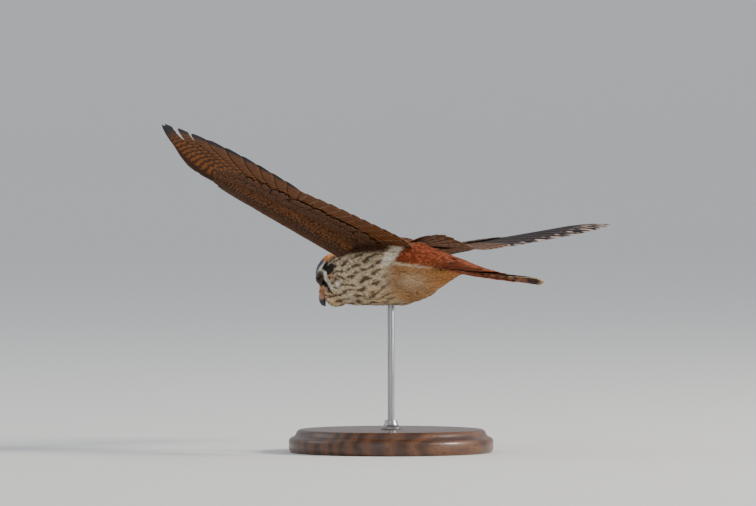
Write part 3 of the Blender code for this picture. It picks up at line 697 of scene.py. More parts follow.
def make_barbs_group():
    inputs = (("Vane", "Vector", None), ("Count", "Float", 30.0), ("Slant", "Float", 0.8))
    group, given, result = new_group("barbs", inputs, (("Height", "Float"), ("Shade", "Float")))
    across, along, _ = split(group, given["Vane"])
    off_shaft = from_shaft(group, across)
    slanted = sums(group, "SUBTRACT", along, sums(group, "MULTIPLY", off_shaft, given["Slant"]))
    counted = sums(group, "MULTIPLY", slanted, given["Count"])
    wave = sums(group, "SINE", sums(group, "MULTIPLY", counted, FULL_TURN))
    shaft = ramp(group, off_shaft, 0.045, 0.0)
    height = sums(group, "ADD", sums(group, "MULTIPLY", wave, 0.25), sums(group, "MULTIPLY", shaft, 1.5))
    group.links.new(height, result["Height"])
    group.links.new(sums(group, "MULTIPLY_ADD", wave, 0.06, 1.0), result["Shade"])
    return group


def make_crossbars_group():
    inputs = (
        ("Vane", "Vector", None),
        ("Count", "Float", 4.0),
        ("Dark Share", "Float", 0.45),
        ("Bow", "Float", 0.25),
        ("Blur", "Float", 0.12),
    )
    group, given, result = new_group("crossbars", inputs, (("Mask", "Float"),))
    across, along, _ = split(group, given["Vane"])
    off_shaft = from_shaft(group, across)
    wobble = sums(group, "MULTIPLY", noise(group, 9.0, 2.0, given["Vane"]), 0.06)
    bowed = sums(group, "SUBTRACT", along, sums(group, "MULTIPLY", off_shaft, given["Bow"]))
    bent = sums(group, "ADD", bowed, wobble)
    phase = sums(group, "FRACT", sums(group, "MULTIPLY", bent, given["Count"]))
    from_middle = sums(group, "ABSOLUTE", sums(group, "SUBTRACT", phase, 0.5))
    edge = sums(group, "MULTIPLY", given["Dark Share"], 0.5)
    soft = sums(group, "ADD", edge, given["Blur"])
    group.links.new(ramp(group, from_middle, soft, edge), result["Mask"])
    return group


def make_streak_group():
    inputs = (("Vane", "Vector", None), ("Width", "Float", 0.2), ("From", "Float", 0.25))
    group, given, result = new_group("shaft_streak", inputs, (("Mask", "Float"), ("Fringe", "Float")))
    across, along, _ = split(group, given["Vane"])
    off_shaft = from_shaft(group, across)
    ragged = sums(group, "MULTIPLY_ADD", noise(group, 14.0, 2.0, given["Vane"]), 0.16, -0.08)
    off_shaft = sums(group, "ADD", off_shaft, ragged)
    taper = sums(group, "MULTIPLY", given["Width"], ramp(group, along, 1.0, 0.72))
    wide = ramp(group, off_shaft, sums(group, "ADD", taper, 0.06), taper)
    group.links.new(sums(group, "MULTIPLY", wide, ramp(group, along, 0.2, given["From"])), result["Mask"])
    rim = sums(group, "MAXIMUM", ramp(group, off_shaft, 0.34, 0.47), ramp(group, along, 0.86, 0.98))
    group.links.new(rim, result["Fringe"])
    return group


def make_mottle_group():
    inputs = (("Scale", "Float", 60.0), ("Low", "Float", 0.85), ("High", "Float", 1.12))
    group, given, result = new_group("mottle", inputs, (("Shade", "Float"),))
    coarse = noise(group, given["Scale"], 4.0)
    spread = new_node(
        group, "MapRange", Value=coarse, From_Min=0.3, From_Max=0.7, To_Min=given["Low"], To_Max=given["High"]
    )
    group.links.new(spread.outputs[0], result["Shade"])
    return group


barbs = make_barbs_group()
crossbars = make_crossbars_group()
shaft_streak = make_streak_group()
mottle = make_mottle_group()
print("node groups:", [group.name for group in (barbs, crossbars, shaft_streak, mottle)])

# %% [markdown]
# A material places these groups, gives each its numbers, and reads the values that every feather carries. The
# helpers here do that, scale a finished colour by its light and dark, and make a bump from a height.
# %% Material tools
def new_finish(name, roughness, **constants):
    """A material, its node tree and its shader. Constants sit on the shader's own sockets."""
    made = bpy.data.materials.new(name)
    made.use_nodes = True
    tree = made.node_tree
    shader = tree.nodes["Principled BSDF"]
    return made, tree, fed(tree, shader, Roughness=roughness, **constants)


def use_group(tree, group, **values):
    """A group placed in a material. Values are numbers or outputs."""
    node = new_node(tree, "Group")
    node.node_tree = group
    return fed(tree, node, **values).outputs


def stored(tree, name):
    """A value that each feather carries."""
    node = new_node(tree, "Attribute")
    node.attribute_name = name
    return node.outputs


def vane_map(tree):
    node = new_node(tree, "UVMap")
    node.uv_map = "vane"
    return node.outputs[0]


def bump(tree, shader, height, strength, distance):
    node = new_node(tree, "Bump", Strength=strength, Distance=distance, Height=height)
    tree.links.new(node.outputs[0], shader.inputs["Normal"])


def shaded(tree, shader, colour, *shades):
    """Scales a colour by the product of its shades and gives it to the shader."""
    shade = shades[0] if len(shades) == 1 else sums(tree, "MULTIPLY", *shades)
    node = new_node(tree, "VectorMath")
    node.operation = "SCALE"
    tree.links.new(colour, node.inputs[0])
    fed(tree, shader, Base_Color=fed(tree, node, Scale=shade).outputs[0])


# %% [markdown]
# Three finishes cover the plumage. Contour feathers and wing coverts share one function: they take their
# ground colour and the strengths of their streak, bars and fringe from values that the marking functions have
# stored on each feather. Flight feathers have values for each side and each row of faces, their own number of
# bars, and, on the primaries, pale notches near the tip that keep to the inner web.
# %% Feather finishes
FRINGE_GAIN = (1.7, 1.6, 1.45, 1.0)
FRINGE_COLOUR = rgba(linear(222, 188, 146))
RIM_COLOUR = rgba(linear(226, 194, 156))
QUILL_COLOUR = rgba(linear(40, 26, 20))
CONTOUR_BUMP = 0.08 * MM
FLIGHT_BUMP = 0.1 * MM


def marked_colour(tree, share):
    """A feather's own mark colour laid over its own ground colour."""
    return mixed(tree, share, stored(tree, "ground")["Color"], stored(tree, "mark")["Color"])


def feather_finish(name, barb_count, bar_share, bar_bow):
    """Contour feathers and coverts: a streak up the shaft or bars across, and a pale fringe."""
    sheen = {"Sheen_Weight": 0.04, "Sheen_Roughness": 0.5}
    made, tree, shader = new_finish(name, 0.8, Specular_IOR_Level=0.14, **sheen)
    vane = vane_map(tree)
    streak_amount, bar_amount, fringe_amount = split(tree, stored(tree, "pattern")["Vector"])
    streak = use_group(tree, shaft_streak, Vane=vane, Width=0.17, From=0.45)
    count = stored(tree, "bar_count")["Fac"]
    bars = use_group(tree, crossbars, Vane=vane, Count=count, Dark_Share=bar_share, Bow=bar_bow)
    fine = use_group(tree, barbs, Vane=vane, Count=barb_count, Slant=0.7)
    uneven = use_group(tree, mottle, Scale=90.0, Low=0.86, High=1.12)
    marked = sums(tree, "MULTIPLY", streak["Mask"], streak_amount)
    barred = sums(tree, "MULTIPLY", bars["Mask"], bar_amount)
    colour = marked_colour(tree, sums(tree, "MAXIMUM", marked, barred))
    pale = mixed(tree, 0.35, mixed(tree, 1.0, colour, FRINGE_GAIN, "MULTIPLY"), FRINGE_COLOUR)
    colour = mixed(tree, sums(tree, "MULTIPLY", streak["Fringe"], fringe_amount), colour, pale)
    shaded(tree, shader, colour, fine["Shade"], uneven["Shade"])
    bump(tree, shader, fine["Height"], 0.5, CONTOUR_BUMP)
    return made


def stiff_finish(name):
    """Flight feathers: bars that keep to the inner web where inner_only is one, a dark outer web where it is
    below zero, and a narrow pale rim."""
    made, tree, shader = new_finish(name, 0.72, Specular_IOR_Level=0.14)
    vane = vane_map(tree)
    inner_only, bar_amount, fringe_amount = split(tree, stored(tree, "pattern")["Vector"])
    across, along, _ = split(tree, vane)
    count = stored(tree, "bar_count")["Fac"]
    bars = use_group(tree, crossbars, Vane=vane, Count=count, Dark_Share=0.36, Bow=0.12)
    fine = use_group(tree, barbs, Vane=vane, Count=110.0, Slant=0.5)
    uneven = use_group(tree, mottle, Scale=70.0, Low=0.85, High=1.14)
    on_outer = sums(tree, "MULTIPLY", sums(tree, "MAXIMUM", inner_only, 0.0), ramp(tree, across, 0.36, 0.43))
    allowed = sums(tree, "MULTIPLY", bar_amount, sums(tree, "SUBTRACT", 1.0, on_outer))
    below_zero = sums(tree, "MULTIPLY", inner_only, -1.0, clamp=True)
    dark_web = sums(tree, "MULTIPLY", below_zero, ramp(tree, across, 0.5, 0.6))
    barred = sums(tree, "MAXIMUM", sums(tree, "MULTIPLY", bars["Mask"], allowed), dark_web)
    colour = marked_colour(tree, barred)
    off_shaft = from_shaft(tree, across)
    rim = sums(tree, "MAXIMUM", ramp(tree, off_shaft, 0.36, 0.44), ramp(tree, along, 0.93, 0.965))
    colour = mixed(tree, sums(tree, "MULTIPLY", rim, fringe_amount), colour, RIM_COLOUR)
    quill = sums(tree, "MULTIPLY", ramp(tree, off_shaft, 0.03, 0.012), 0.5)
    colour = mixed(tree, quill, colour, QUILL_COLOUR)
    shaded(tree, shader, colour, fine["Shade"], uneven["Shade"])
    bump(tree, shader, fine["Height"], 0.5, FLIGHT_BUMP)
    return made


contour_finish = feather_finish("contour_feathers", 14.0, 0.42, 0.35)
covert_finish = feather_finish("wing_coverts", 26.0, 0.4, 0.3)
flight_finish = stiff_finish("flight_feathers")
print("feather finishes:", contour_finish.name, covert_finish.name, flight_finish.name)

# %% [markdown]
# The skin shows only between feathers. It wears the same ground colours, a little darker as in a shadow, with
# the streaks worked straight into the colour and a soft bump of feather follicles.
# %% Skin finish
SKIN_SHADE = 0.62
MEAN_WING_SLOPE = math.radians(17)
FOLLICLE_BUMP = 0.2 * MM


def add_values(mesh, title, values, domain):
    """Stores colours, triples or single numbers on a mesh."""
    kind, field = ("FLOAT_VECTOR", "vector") if values.shape[1] == 3 else ("FLOAT", "value")
    if title in ("ground", "mark"):
        kind, field = "FLOAT_COLOR", "color"
        values = np.concatenate([values, np.ones((len(values), 1))], axis=1)
    mesh.attributes.new(title, kind, domain).data.foreach_set(field, values.ravel().astype(np.float32))


def wing_place(place):
    """Rough lengths out and forward of a skin point on a wing, for its colour."""
    out = (np.abs(place[:, 0]) - SHOULDER[0]) / math.cos(MEAN_WING_SLOPE)
    return out, -(place[:, 1] - SHOULDER[1])


def skin_colours(mesh):
    """The ground colours of body and wings at the skin's points, with streaks and bars worked in."""
    place = unplaced(vertex_table(mesh), BIRD)
    facing = (vertex_table(mesh, normals=True) @ BIRD[:3, :3])[:, 2]
    ground, pattern = paint(place, facing)
    ground = layered(ground, (STREAK, 0.5 * pattern[:, 0]), (BLACK, 0.3 * pattern[:, 1]))
    above, below = (wing_paint(*wing_place(place), upper)[0] for upper in (True, False))
    wing_colour = np.where((facing > 0)[:, None], above, below)
    on_wing = ease(28 * MM, 38 * MM, np.abs(place[:, 0]))
    return ground + (wing_colour - ground) * on_wing[:, None]


def skin_finish():
    made, tree, shader = new_finish("skin_down", 0.85, Specular_IOR_Level=0.2)
    uneven = use_group(tree, mottle, Scale=220.0, Low=0.8, High=1.15)
    shaded(tree, shader, stored(tree, "ground")["Color"], uneven["Shade"])
    bump(tree, shader, noise(tree, 900.0, 2.0), 0.4, FOLLICLE_BUMP)
    return made


add_values(skin.data, "ground", skin_colours(skin.data) * SKIN_SHADE, "POINT")
skin.data.materials.clear()
finish_piece(skin, skin_finish(), "plumage", *FLESH)

# %% [markdown]
# Every feather, from a 4 mm face feather to a primary, is one closed blade: a grid of points for its upper
# side, the same columns but the outermost two for its under side, and a cap at each end. A whole tract is
# made in one go as arrays, and its meshes are joined, so thousands of feathers take a second and are plain
# mesh. Each feather keeps a map of itself, across and along, and a small patch on the bake map at the
# place where it grows.
# %% Blades
BAKE_PATCH = 0.003


def blade_faces(rows, columns, under):
    """Corner numbers of one blade's quads, whether each lies on the upper side, and its row."""
    ring = columns + under
    row, spot = np.meshgrid(np.arange(rows - 1), np.arange(ring), indexing="ij")
    here, after = row * ring + spot, row * ring + (spot + 1) % ring
    quads = np.stack([here, after, after + ring, here + ring], -1)
    return quads.reshape(-1, 4), (spot < columns - 1).ravel(), row.ravel()


def blade_mesh(name, top, bottom, across, root_map, coats, strips=None):
    """Closed blades from top (N, rows, columns, 3) and bottom (N, rows, under, 3) points.
    across is each column's place over the feather, root_map each root's place on the bake map.
    coats holds the stored values, one row for each feather, or for each feather, side and row of faces."""
    count, rows, columns, _ = top.shape
    under = bottom.shape[2]
    ring = columns + under
    points = np.concatenate([top, bottom[:, :, ::-1]], axis=2).reshape(-1, 3)
    quads, is_top, row_of_face = blade_faces(rows, columns, under)
    starts = (np.arange(count) * rows * ring)[:, None, None]
    faces = (quads[None] + starts).reshape(-1, 4)
    if blade_volume(points, faces[: len(quads)]) < 0:
        quads, faces = quads[:, ::-1], faces[:, ::-1]
    first_cap = np.arange(ring)[None] + starts[:, 0]
    last_cap = first_cap + (rows - 1) * ring
    flip = 1 if quads[0, 0] < quads[0, 1] else -1
    mesh = bpy.data.meshes.new(name)
    loops = np.concatenate([faces.ravel(), first_cap[:, :: -flip].ravel(), last_cap[:, ::flip].ravel()])
    sizes = np.concatenate([np.full(len(faces), 4), np.full(2 * count, ring)])
    mesh.vertices.add(len(points))
    mesh.vertices.foreach_set("co", placed(points, BIRD).ravel())
    mesh.loops.add(len(loops))
    mesh.loops.foreach_set("vertex_index", loops.astype(np.int32))
    mesh.polygons.add(len(sizes))
    mesh.polygons.foreach_set("loop_start", (np.cumsum(sizes) - sizes).astype(np.int32))
    mesh.update(calc_edges=True)
    mesh.shade_smooth()
    column_map = np.concatenate([across, across[1:-1] if under > 1 else [0.5]])
    column_map[columns:] = column_map[columns:][::-1]
    corner = loops % (rows * ring)
    vane = np.stack([column_map[corner % ring], (corner // ring) / (rows - 1)], axis=-1)
    owner = loops // (rows * ring)
    side_of_face = np.concatenate([np.tile(is_top, count), np.ones(2 * count, bool)])
    side_of_loop = np.repeat(side_of_face, sizes)
    if strips is None:
        bake = root_map[owner] + (vane - 0.5) * BAKE_PATCH
    else:
        lane = (owner + 0.06 + 0.88 * vane[:, 0]) / strips
        bake = np.stack([lane, (side_of_loop + 0.02 + 0.96 * vane[:, 1]) / 2], axis=-1)
    for title, values in (("vane", vane), ("OFBake", bake)):
        layer = mesh.uv_layers.new(name=title)
        layer.data.foreach_set("uv", values.ravel().astype(np.float32))
    store_coats(mesh, coats, count, is_top, row_of_face)
    return bpy.data.objects.new(name, mesh)


def blade_volume(points, faces):
    """A blade's volume up to a factor, below zero where its faces look inward."""
    corners = points[faces]
    middle = corners.mean(axis=(0, 1))
    a, b, c, d = (corners[:, k] - middle for k in range(4))
    return np.sum(np.cross(a, b) * c) + np.sum(np.cross(a, c) * d)


def store_coats(mesh, coats, count, is_top, row_of_face):
    """Puts each feather's colours and patterns on its points or its faces."""
    for title, values in coats.items():
        values = np.asarray(values, float)
        if len(values) == len(mesh.vertices):
            add_values(mesh, title, values.reshape(len(values), -1), "POINT")
            continue
        width = values.shape[-1] if values.ndim > 1 else 1
        if values.ndim == 4:
            spread = values[:, np.where(is_top, 0, 1), row_of_face]
            caps = [values[:, 0, 0], values[:, 0, -1]]
        else:
            flat = values.reshape(count, width)
            spread = np.repeat(flat[:, None], len(is_top), axis=1)
            caps = [flat, flat]
        table = np.concatenate([spread.reshape(-1, width), *[c.reshape(-1, width) for c in caps]])
        add_values(mesh, title, table, "FACE")


# %% [markdown]
# Contour feathers grow from the skin and lie along it. Each is traced as a short walk: from its root it takes
# small steps in the direction that the coat runs there, and after each step it drops back to the surface, so
# it bends with the body and passes smoothly on to the tail or the wing's base. It rises a little over the
# skin towards its tip, which is what makes it overlap the next one. The surface that it walks on is more than
# the skin: it takes in the tail and the inner wings, bridges the hollows for the feet, runs down a smooth
# ramp from the rump onto the tail, and swells a little under the throat.
# %% The surface under the coat
GUIDES = ["tail", "cere", "wing_left_secondaries", "wing_right_secondaries"]
HOLLOW_MIDDLE = np.array([8.0, 25, -14.5]) * MM
HOLLOW_SIZE = np.array([10.0, 13.0, 10.5]) * MM
# The ramp's half width and height in mm, at places back along the bird, and its slope
RAMP = smooth_curve([(60, 11.5, 11.0), (77, 10.5, 7.6), (90, 11.5, 4.2), (102, 13.0, 1.8), (112, 14.0, 0.8)])
RAMP_GRID = (26, 21)
RAMP_SLOPE = 0.14
PUFF_MIDDLE = np.array([0, -58.0, -15])
PUFF_SIZE = np.array([8.5, 10.0, 9.4])
PUFF_GRID = (20, 15)
belly_half = smooth_curve([(0, 27.6, 26.7), (10, 26.5, 26.5), (27, 22.0, 25.5), (42, 17.0, 22.0)])


def in_hollow(points):
    """How near places are to the hollows for the feet: below 1 inside, above 1 outside."""
    away = np.stack([np.abs(points[:, 0]), points[:, 1], points[:, 2]], axis=1) - HOLLOW_MIDDLE
    return np.linalg.norm(away / HOLLOW_SIZE, axis=1)


def bridged(points, normals):
    """Skin places and normals, with those in the feet's hollows moved out to where the belly would be."""
    half = belly_half(points[:, 1] / MM) * MM - COAT_DEPTH
    angle = np.arctan2(points[:, 2], points[:, 0])
    reach = 1 / np.hypot(np.cos(angle) / half[:, 0], np.sin(angle) / half[:, 1])
    outside = np.stack([reach * np.cos(angle), points[:, 1], reach * np.sin(angle)], axis=1)
    steepness = outside[:, 0] / half[:, 0] ** 2, np.zeros_like(angle), outside[:, 2] / half[:, 1] ** 2
    outward = unit(np.stack(steepness, axis=1))
    hollow = (in_hollow(points) < 1.3)[:, None] & (points[:, 2:] < -3 * MM)
    return np.where(hollow, outside, points), np.where(hollow, outward, normals)


def guide_grid(size, first_range, angle_range):
    """Two tables for a guide's grid: a length or angle along it, and the angle round it."""
    along, angle = np.linspace(*first_range, size[0]), np.radians(np.linspace(*angle_range, size[1]))
    return np.meshgrid(along, angle, indexing="ij")


def tail_ramp():
    """Points and normals of a smooth ramp from the rump down onto the tail, for the long tail coverts."""
    back, angle = guide_grid(RAMP_GRID, (60, 112), (-101, 101))
    wide, high = np.moveaxis(RAMP(back), -1, 0)
    up = high * np.cos(angle) + 0.5 - RAMP_SLOPE * (back - 40)
    outward = [np.sin(angle) / wide, RAMP_SLOPE * np.cos(angle) / high, np.cos(angle) / high]
    return np.stack([wide * np.sin(angle), back, up], axis=-1) * MM, unit(np.stack(outward, axis=-1))


def chin_puff():
    """Points and normals of the swelling of loose feathers under the bill and throat."""
    polar, angle = guide_grid(PUFF_GRID, np.radians((12, 150)), (-105, 105))
    around = [np.sin(polar) * np.sin(angle), -np.cos(polar), -np.sin(polar) * np.cos(angle)]
    around = np.stack(around, axis=-1)
    return (around * PUFF_SIZE + PUFF_MIDDLE) * MM, unit(around / PUFF_SIZE)


def guide_faces(points, outward):
    """A grid's places in one list, its quads, and their normals."""
    rows, columns, _ = points.shape
    first = (np.arange(rows - 1)[:, None] * columns + np.arange(columns - 1)).ravel()
    faces = np.stack([first, first + 1, first + columns + 1, first + columns], axis=1)
    return points.reshape(-1, 3), faces, outward.reshape(-1, 3)[first]


def surface_tree():
    """A search tree over the skin and its guides, with smooth normals, in the bird's frame."""
    points, faces, normals = [], [], []
    start = 0
    for obj in [skin] + [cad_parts[name] for name in GUIDES]:
        mesh = obj.data
        table = unplaced(vertex_table(mesh), BIRD)
        smooth_normals = vertex_table(mesh, normals=True) @ BIRD[:3, :3]
        if obj is skin:
            table, smooth_normals = bridged(table, smooth_normals)
        for polygon in mesh.polygons:
            corners = list(polygon.vertices)
            faces.append([start + c for c in corners])
            normals.append(smooth_normals[corners].mean(axis=0))
        points.append(table)
        start += len(table)
    for guide in (tail_ramp(), chin_puff()):
        places, quads, outward = guide_faces(*guide)
        points.append(places)
        faces += (quads + start).tolist()
        normals += list(outward)
        start += len(places)
    tree = BVHTree.FromPolygons(np.concatenate(points).tolist(), faces)
    return tree, unit(np.array(normals))


surface, surface_normals = surface_tree()
print("faces under the coat:", len(surface_normals))

# %% [markdown]
# The coat runs from the bill over the crown and throat, then tailward all along the body, a little upward on
# the flanks and a little outward beside the wings. Eyes stay clear: vane points that come too near one are
# pushed back to the edge of its lids.
# %% The walk along the coat
EYE_MIDDLE = np.array([8.8, -6.4, 1.5]) * MM
LID_REACH = 5.1 * MM
HEAD_BACK = HEAD[:3, :3] @ np.array([0, 1, 0])


def drop(points):
    """The nearest places on the surface, and its normals there."""
    found = [surface.find_nearest(p) for p in points.tolist()]
    places = np.array([f[0][:] for f in found])
    return places, surface_normals[np.array([f[2] for f in found])]


def coat_flow(points):
    """The direction in which the coat runs at places in the bird's frame."""
    reach = np.linalg.norm(unplaced(points, HEAD), axis=1) / MM
    is_head = ease(22, 15, reach)[:, None]
    outward = np.zeros_like(points)
    outward[:, 0] = np.sign(points[:, 0]) * ease(14 * MM, 40 * MM, np.abs(points[:, 0])) * 0.3
    back = np.array([0, 1, -0.02]) + outward
    side, y, z = np.abs(points[:, 0]), points[:, 1], points[:, 2]
    flank = ease(6 * MM, 16 * MM, side) * ease(14 * MM, 6 * MM, z) * ease(22 * MM, 6 * MM, y)
    below = ease(-5 * MM, -24 * MM, z) * ease(-20 * MM, 30 * MM, y)
    rump = ease(25 * MM, 45 * MM, y) * ease(0, 4 * MM, z)
    back[:, 2] += 0.12 * below + 0.2 * flank - 0.12 * rump
    return unit(back + (HEAD_BACK - back) * is_head)


def walk(roots, lengths, steps, turns):
    """Each feather's line of places and normals, walked along the coat from its root."""
    place, normal = drop(roots)
    places, normals = [place], [normal]
    for _ in range(steps - 1):
        flow = coat_flow(place)
        flow = unit(flow - normal * np.sum(flow * normal, axis=1, keepdims=True))
        aside = np.cross(normal, flow)
        flow = unit(flow + aside * turns[:, None])
        ahead = place + flow * (lengths / (steps - 1))[:, None]
        place, reached = drop(ahead)
        normal = unit(normal * 0.4 + reached * 0.6)
        places.append(place)
        normals.append(normal)
    return np.stack(places, axis=1), np.stack(normals, axis=1)


def clear_of_eyes(points):
    """Pushes places out of two balls round the eyes."""
    for side in (1, -1):
        middle = placed(EYE_MIDDLE * np.array([side, 1, 1]), HEAD)
        away = points - middle
        reach = np.linalg.norm(away, axis=-1, keepdims=True)
        points = np.where(reach < LID_REACH, middle + away / np.maximum(reach, 1e-6) * LID_REACH, points)
    return points


# %% [markdown]
# A contour feather's outline is narrow at the root, widest past the middle and rounded at the tip, with a few
# small splits where barbs have parted. Its vane droops from the shaft to both edges, and its middle is
# 0.15 mm thick. The bake map for the body is an unwrap like a label round a bottle: the angle round the trunk
# one way, the distance along it the other. The head has one of its own, round the bill's axis.
# %% Contour feathers
VANE_COLUMNS = np.linspace(-1, 1, 5)
VANE_THICKNESS = 0.15 * MM
CONTOUR_BLUNT = 2.6
CONTOUR_BAR_GAP = 5.5 * MM
BODY_FROM = 90
BODY_LENGTH = 200


def in_margin(turn_from, along):
    """Map places from the direction round the body and the share along it, a little inside the map."""
    turn = np.arctan2(turn_from[:, 0], -turn_from[:, 2]) / (2 * math.pi) + 0.5
    return 0.01 + 0.98 * np.stack([turn, along], axis=1)


def bottle_map(roots):
    """Round the trunk and along it, both from 0 to 1."""
    return in_margin(roots, (roots[:, 1] / MM + BODY_FROM) / BODY_LENGTH)


def head_map(roots):
    """The same round the bill's axis, and from the bill to the nape."""
    place = unplaced(roots, HEAD)
    return in_margin(place, np.arctan2(np.hypot(place[:, 0], place[:, 2]), -place[:, 1]) / math.pi)


def outline(run, full_at, blunt):
    """A feather's half width from root to tip, over its greatest."""
    rising = 0.22 + 0.78 * np.sin(0.5 * math.pi * np.clip(run / full_at, 0, 1)) ** 0.8
    falling = np.clip((run - full_at) / (1 - full_at), 0, 1)
    return rising * np.maximum(1 - falling**blunt, 0.0) ** 0.5


def contour_feathers(name, roots, lengths, widths, rise, bake_map, seed, rows):
    """A tract of contour feathers from their roots in the bird's frame."""
    rng = np.random.default_rng(seed)
    count = len(roots)
    lengths = lengths * rng.uniform(0.88, 1.12, count)
    places, normals = walk(roots, lengths, rows, rng.normal(0, 0.09, count))
    run = np.linspace(0, 1, rows)
    height = 0.1 * MM + (rise * rng.uniform(0.8, 1.25, count))[:, None] * run**0.75
    middle = places + normals * height[..., None]
    ahead = unit(np.gradient(middle, axis=1))
    across = np.cross(ahead, normals)
    ragged = 1 + rng.uniform(-0.16, 0.1, (count, rows, 1)) * (run > 0.3)[None, :, None]
    half = widths[:, None] * np.maximum(outline(run, 0.62, CONTOUR_BLUNT), 0.12)
    spots = VANE_COLUMNS[None, None] * half[..., None] * ragged
    droop = -0.22 * VANE_COLUMNS**2 * half[..., None]
    top = middle[:, :, None] + across[:, :, None] * spots[..., None]
    top = top + normals[:, :, None] * droop[..., None]
    if bake_map is head_map:
        top = clear_of_eyes(top)
    bottom = top[:, :, 2:3] - (normals * VANE_THICKNESS)[:, :, None]
    corners = np.concatenate([top, bottom[:, :, ::-1]], axis=2)
    ring = corners.shape[2]
    shift = rng.normal(0, 1, (count, 1, 1, 3)) * (0.12 * widths)[:, None, None, None]
    facing = np.repeat(normals[:, :, 2:], ring, axis=2)
    ground, pattern = paint((corners + shift).reshape(-1, 3), facing.ravel())
    tone = rng.uniform(0.82, 1.1, count)
    ground = ground * np.repeat(tone, rows * ring)[:, None]
    mark = np.where((pattern[:, 1] > 0.5)[:, None], BLACK, STREAK)
    bar_count = np.clip(lengths / CONTOUR_BAR_GAP, 1, 4)
    coats = {"ground": ground, "mark": mark, "pattern": pattern, "bar_count": bar_count}
    feathers = blade_mesh(name, top, bottom, (VANE_COLUMNS + 1) / 2, bake_map(roots), coats)
    finish_piece(feathers, contour_finish, "plumage")


# %% [markdown]
# Where feathers grow is settled by darts thrown at the skin. Each place asks for its own spacing, and a dart
# that lands nearer than that to one already standing is taken away. So the face gets many and the back few,
# and the rows stay irregular. None stands on the bill, in an eye, at the stand's rod or in the two slits
# between the belly feathers where the claws show.
# %% Where feathers grow
BODY_SPACING = 1.7 * MM
HEAD_SPACING = 1.2 * MM
FACE_SPACING = 0.95 * MM
LID_SPACING = 0.7 * MM
ROD_RADIUS = 2.6 * MM
ROD_MARGIN = 1.5 * MM
WING_ROOT_OUT = 33 * MM
SLIT = ((7, 3.6), (29, 5.0))
SLIT_TOP = -19 * MM


def to_eye(on_head):
    """How far places in the head's frame are from the nearer eye's middle."""
    mirrored = np.abs(on_head * [1, 0, 0]) + on_head * [0, 1, 1]
    return np.linalg.norm(mirrored - EYE_MIDDLE, axis=1)


def spacing_at(points):
    on_head = unplaced(points, HEAD)
    reach = np.linalg.norm(on_head, axis=1) / MM
    face = ease(-1 * MM, -11 * MM, on_head[:, 1])
    near_eye = ease(8.5 * MM, 6.5 * MM, to_eye(on_head))
    spacing = HEAD_SPACING + (FACE_SPACING - HEAD_SPACING) * face
    spacing = spacing + (LID_SPACING - spacing) * near_eye
    return spacing + (BODY_SPACING - spacing) * ease(15, 33, reach)


def on_bill(on_head):
    """Whether places in the head's frame lie under the cere or on the bill."""
    side, back, up = on_head.T
    cere = (back < -12.6 * MM) & (np.hypot(side, up + 1 * MM) < 5.6 * MM)
    base = (back < -14.2 * MM) & (np.hypot(side, up + 2.5 * MM) < 7.6 * MM)
    lower = (back < -11.5 * MM) & (np.abs(side) < 3.6 * MM) & (up > -8.5 * MM) & (up < 2 * MM)
    return cere | base | lower


def grows(points):
    """Whether a place may carry a body feather."""
    on_head = unplaced(points, HEAD)
    world = placed(points, BIRD)
    rod = (np.hypot(world[:, 0], world[:, 1]) < ROD_RADIUS + ROD_MARGIN) & (world[:, 2] < TRUNK_HEIGHT)
    wing = np.abs(points[:, 0]) > WING_ROOT_OUT
    (slit_at, half), (slit_back, length) = SLIT
    aside, along = np.abs(points[:, 0]) / MM - slit_at, points[:, 1] / MM - slit_back
    slit = ((aside / half) ** 2 + (along / length) ** 2 < 1) & (points[:, 2] < SLIT_TOP)
    return ~(on_bill(on_head) | (to_eye(on_head) < LID_REACH) | rod | wing | slit)


def scatter(seed, tries=130000):
    """Roots all over the skin of head, neck, trunk and thighs."""
    rng = np.random.default_rng(seed)
    mesh = skin.data
    mesh.calc_loop_triangles()
    corners = np.zeros(len(mesh.loop_triangles) * 3, np.int32)
    mesh.loop_triangles.foreach_get("vertices", corners)
    places = unplaced(vertex_table(mesh), BIRD)
    corners = bridged(places, places)[0][corners.reshape(-1, 3)]
    area = np.linalg.norm(np.cross(corners[:, 1] - corners[:, 0], corners[:, 2] - corners[:, 0]), axis=1)
    middles = corners.mean(axis=1)
    weight = area * grows(middles) / spacing_at(middles) ** 2
    chosen = rng.choice(len(weight), tries, p=weight / weight.sum())
    a, b = rng.random((2, tries, 1))
    over = a + b > 1
    a, b = np.where(over, 1 - a, a), np.where(over, 1 - b, b)
    spots = corners[chosen]
    points = spots[:, 0] + a * (spots[:, 1] - spots[:, 0]) + b * (spots[:, 2] - spots[:, 0])
    points = points[grows(points)]
    return thinned(points, spacing_at(points))


def thinned(points, spacing):
    """The points that stand once each has cleared later ones from round it."""
    tree = KDTree(len(points))
    for index, point in enumerate(points.tolist()):
        tree.insert(point, index)
    tree.balance()
    standing = np.ones(len(points), bool)
    for index, point in enumerate(points.tolist()):
        if standing[index]:
            for _, other, _ in tree.find_range(point, float(spacing[index])):
                if other > index:
                    standing[other] = False
    return points[standing]


def on_guide(points, seed, scatter_by):
    """Roots at a guide's grid points, each moved a little by chance."""
    places = points.reshape(-1, 3)
    return places + np.random.default_rng(seed).normal(0, scatter_by, places.shape)


on_skin = scatter(7)
skin_on_head = unplaced(on_skin, HEAD)
at_bill = on_skin[(skin_on_head[:, 1] < -10.8 * MM) & (skin_on_head[:, 2] > -7 * MM)]
on_ramp = on_guide(tail_ramp()[0][6:20], 8, 0.7 * MM)
on_puff = on_guide(chin_puff()[0][:15], 9, 0.5 * MM)
roots = np.concatenate([on_skin, at_bill - HEAD_BACK * 2.6 * MM, on_ramp, on_puff])
print("feather roots:", len(roots))

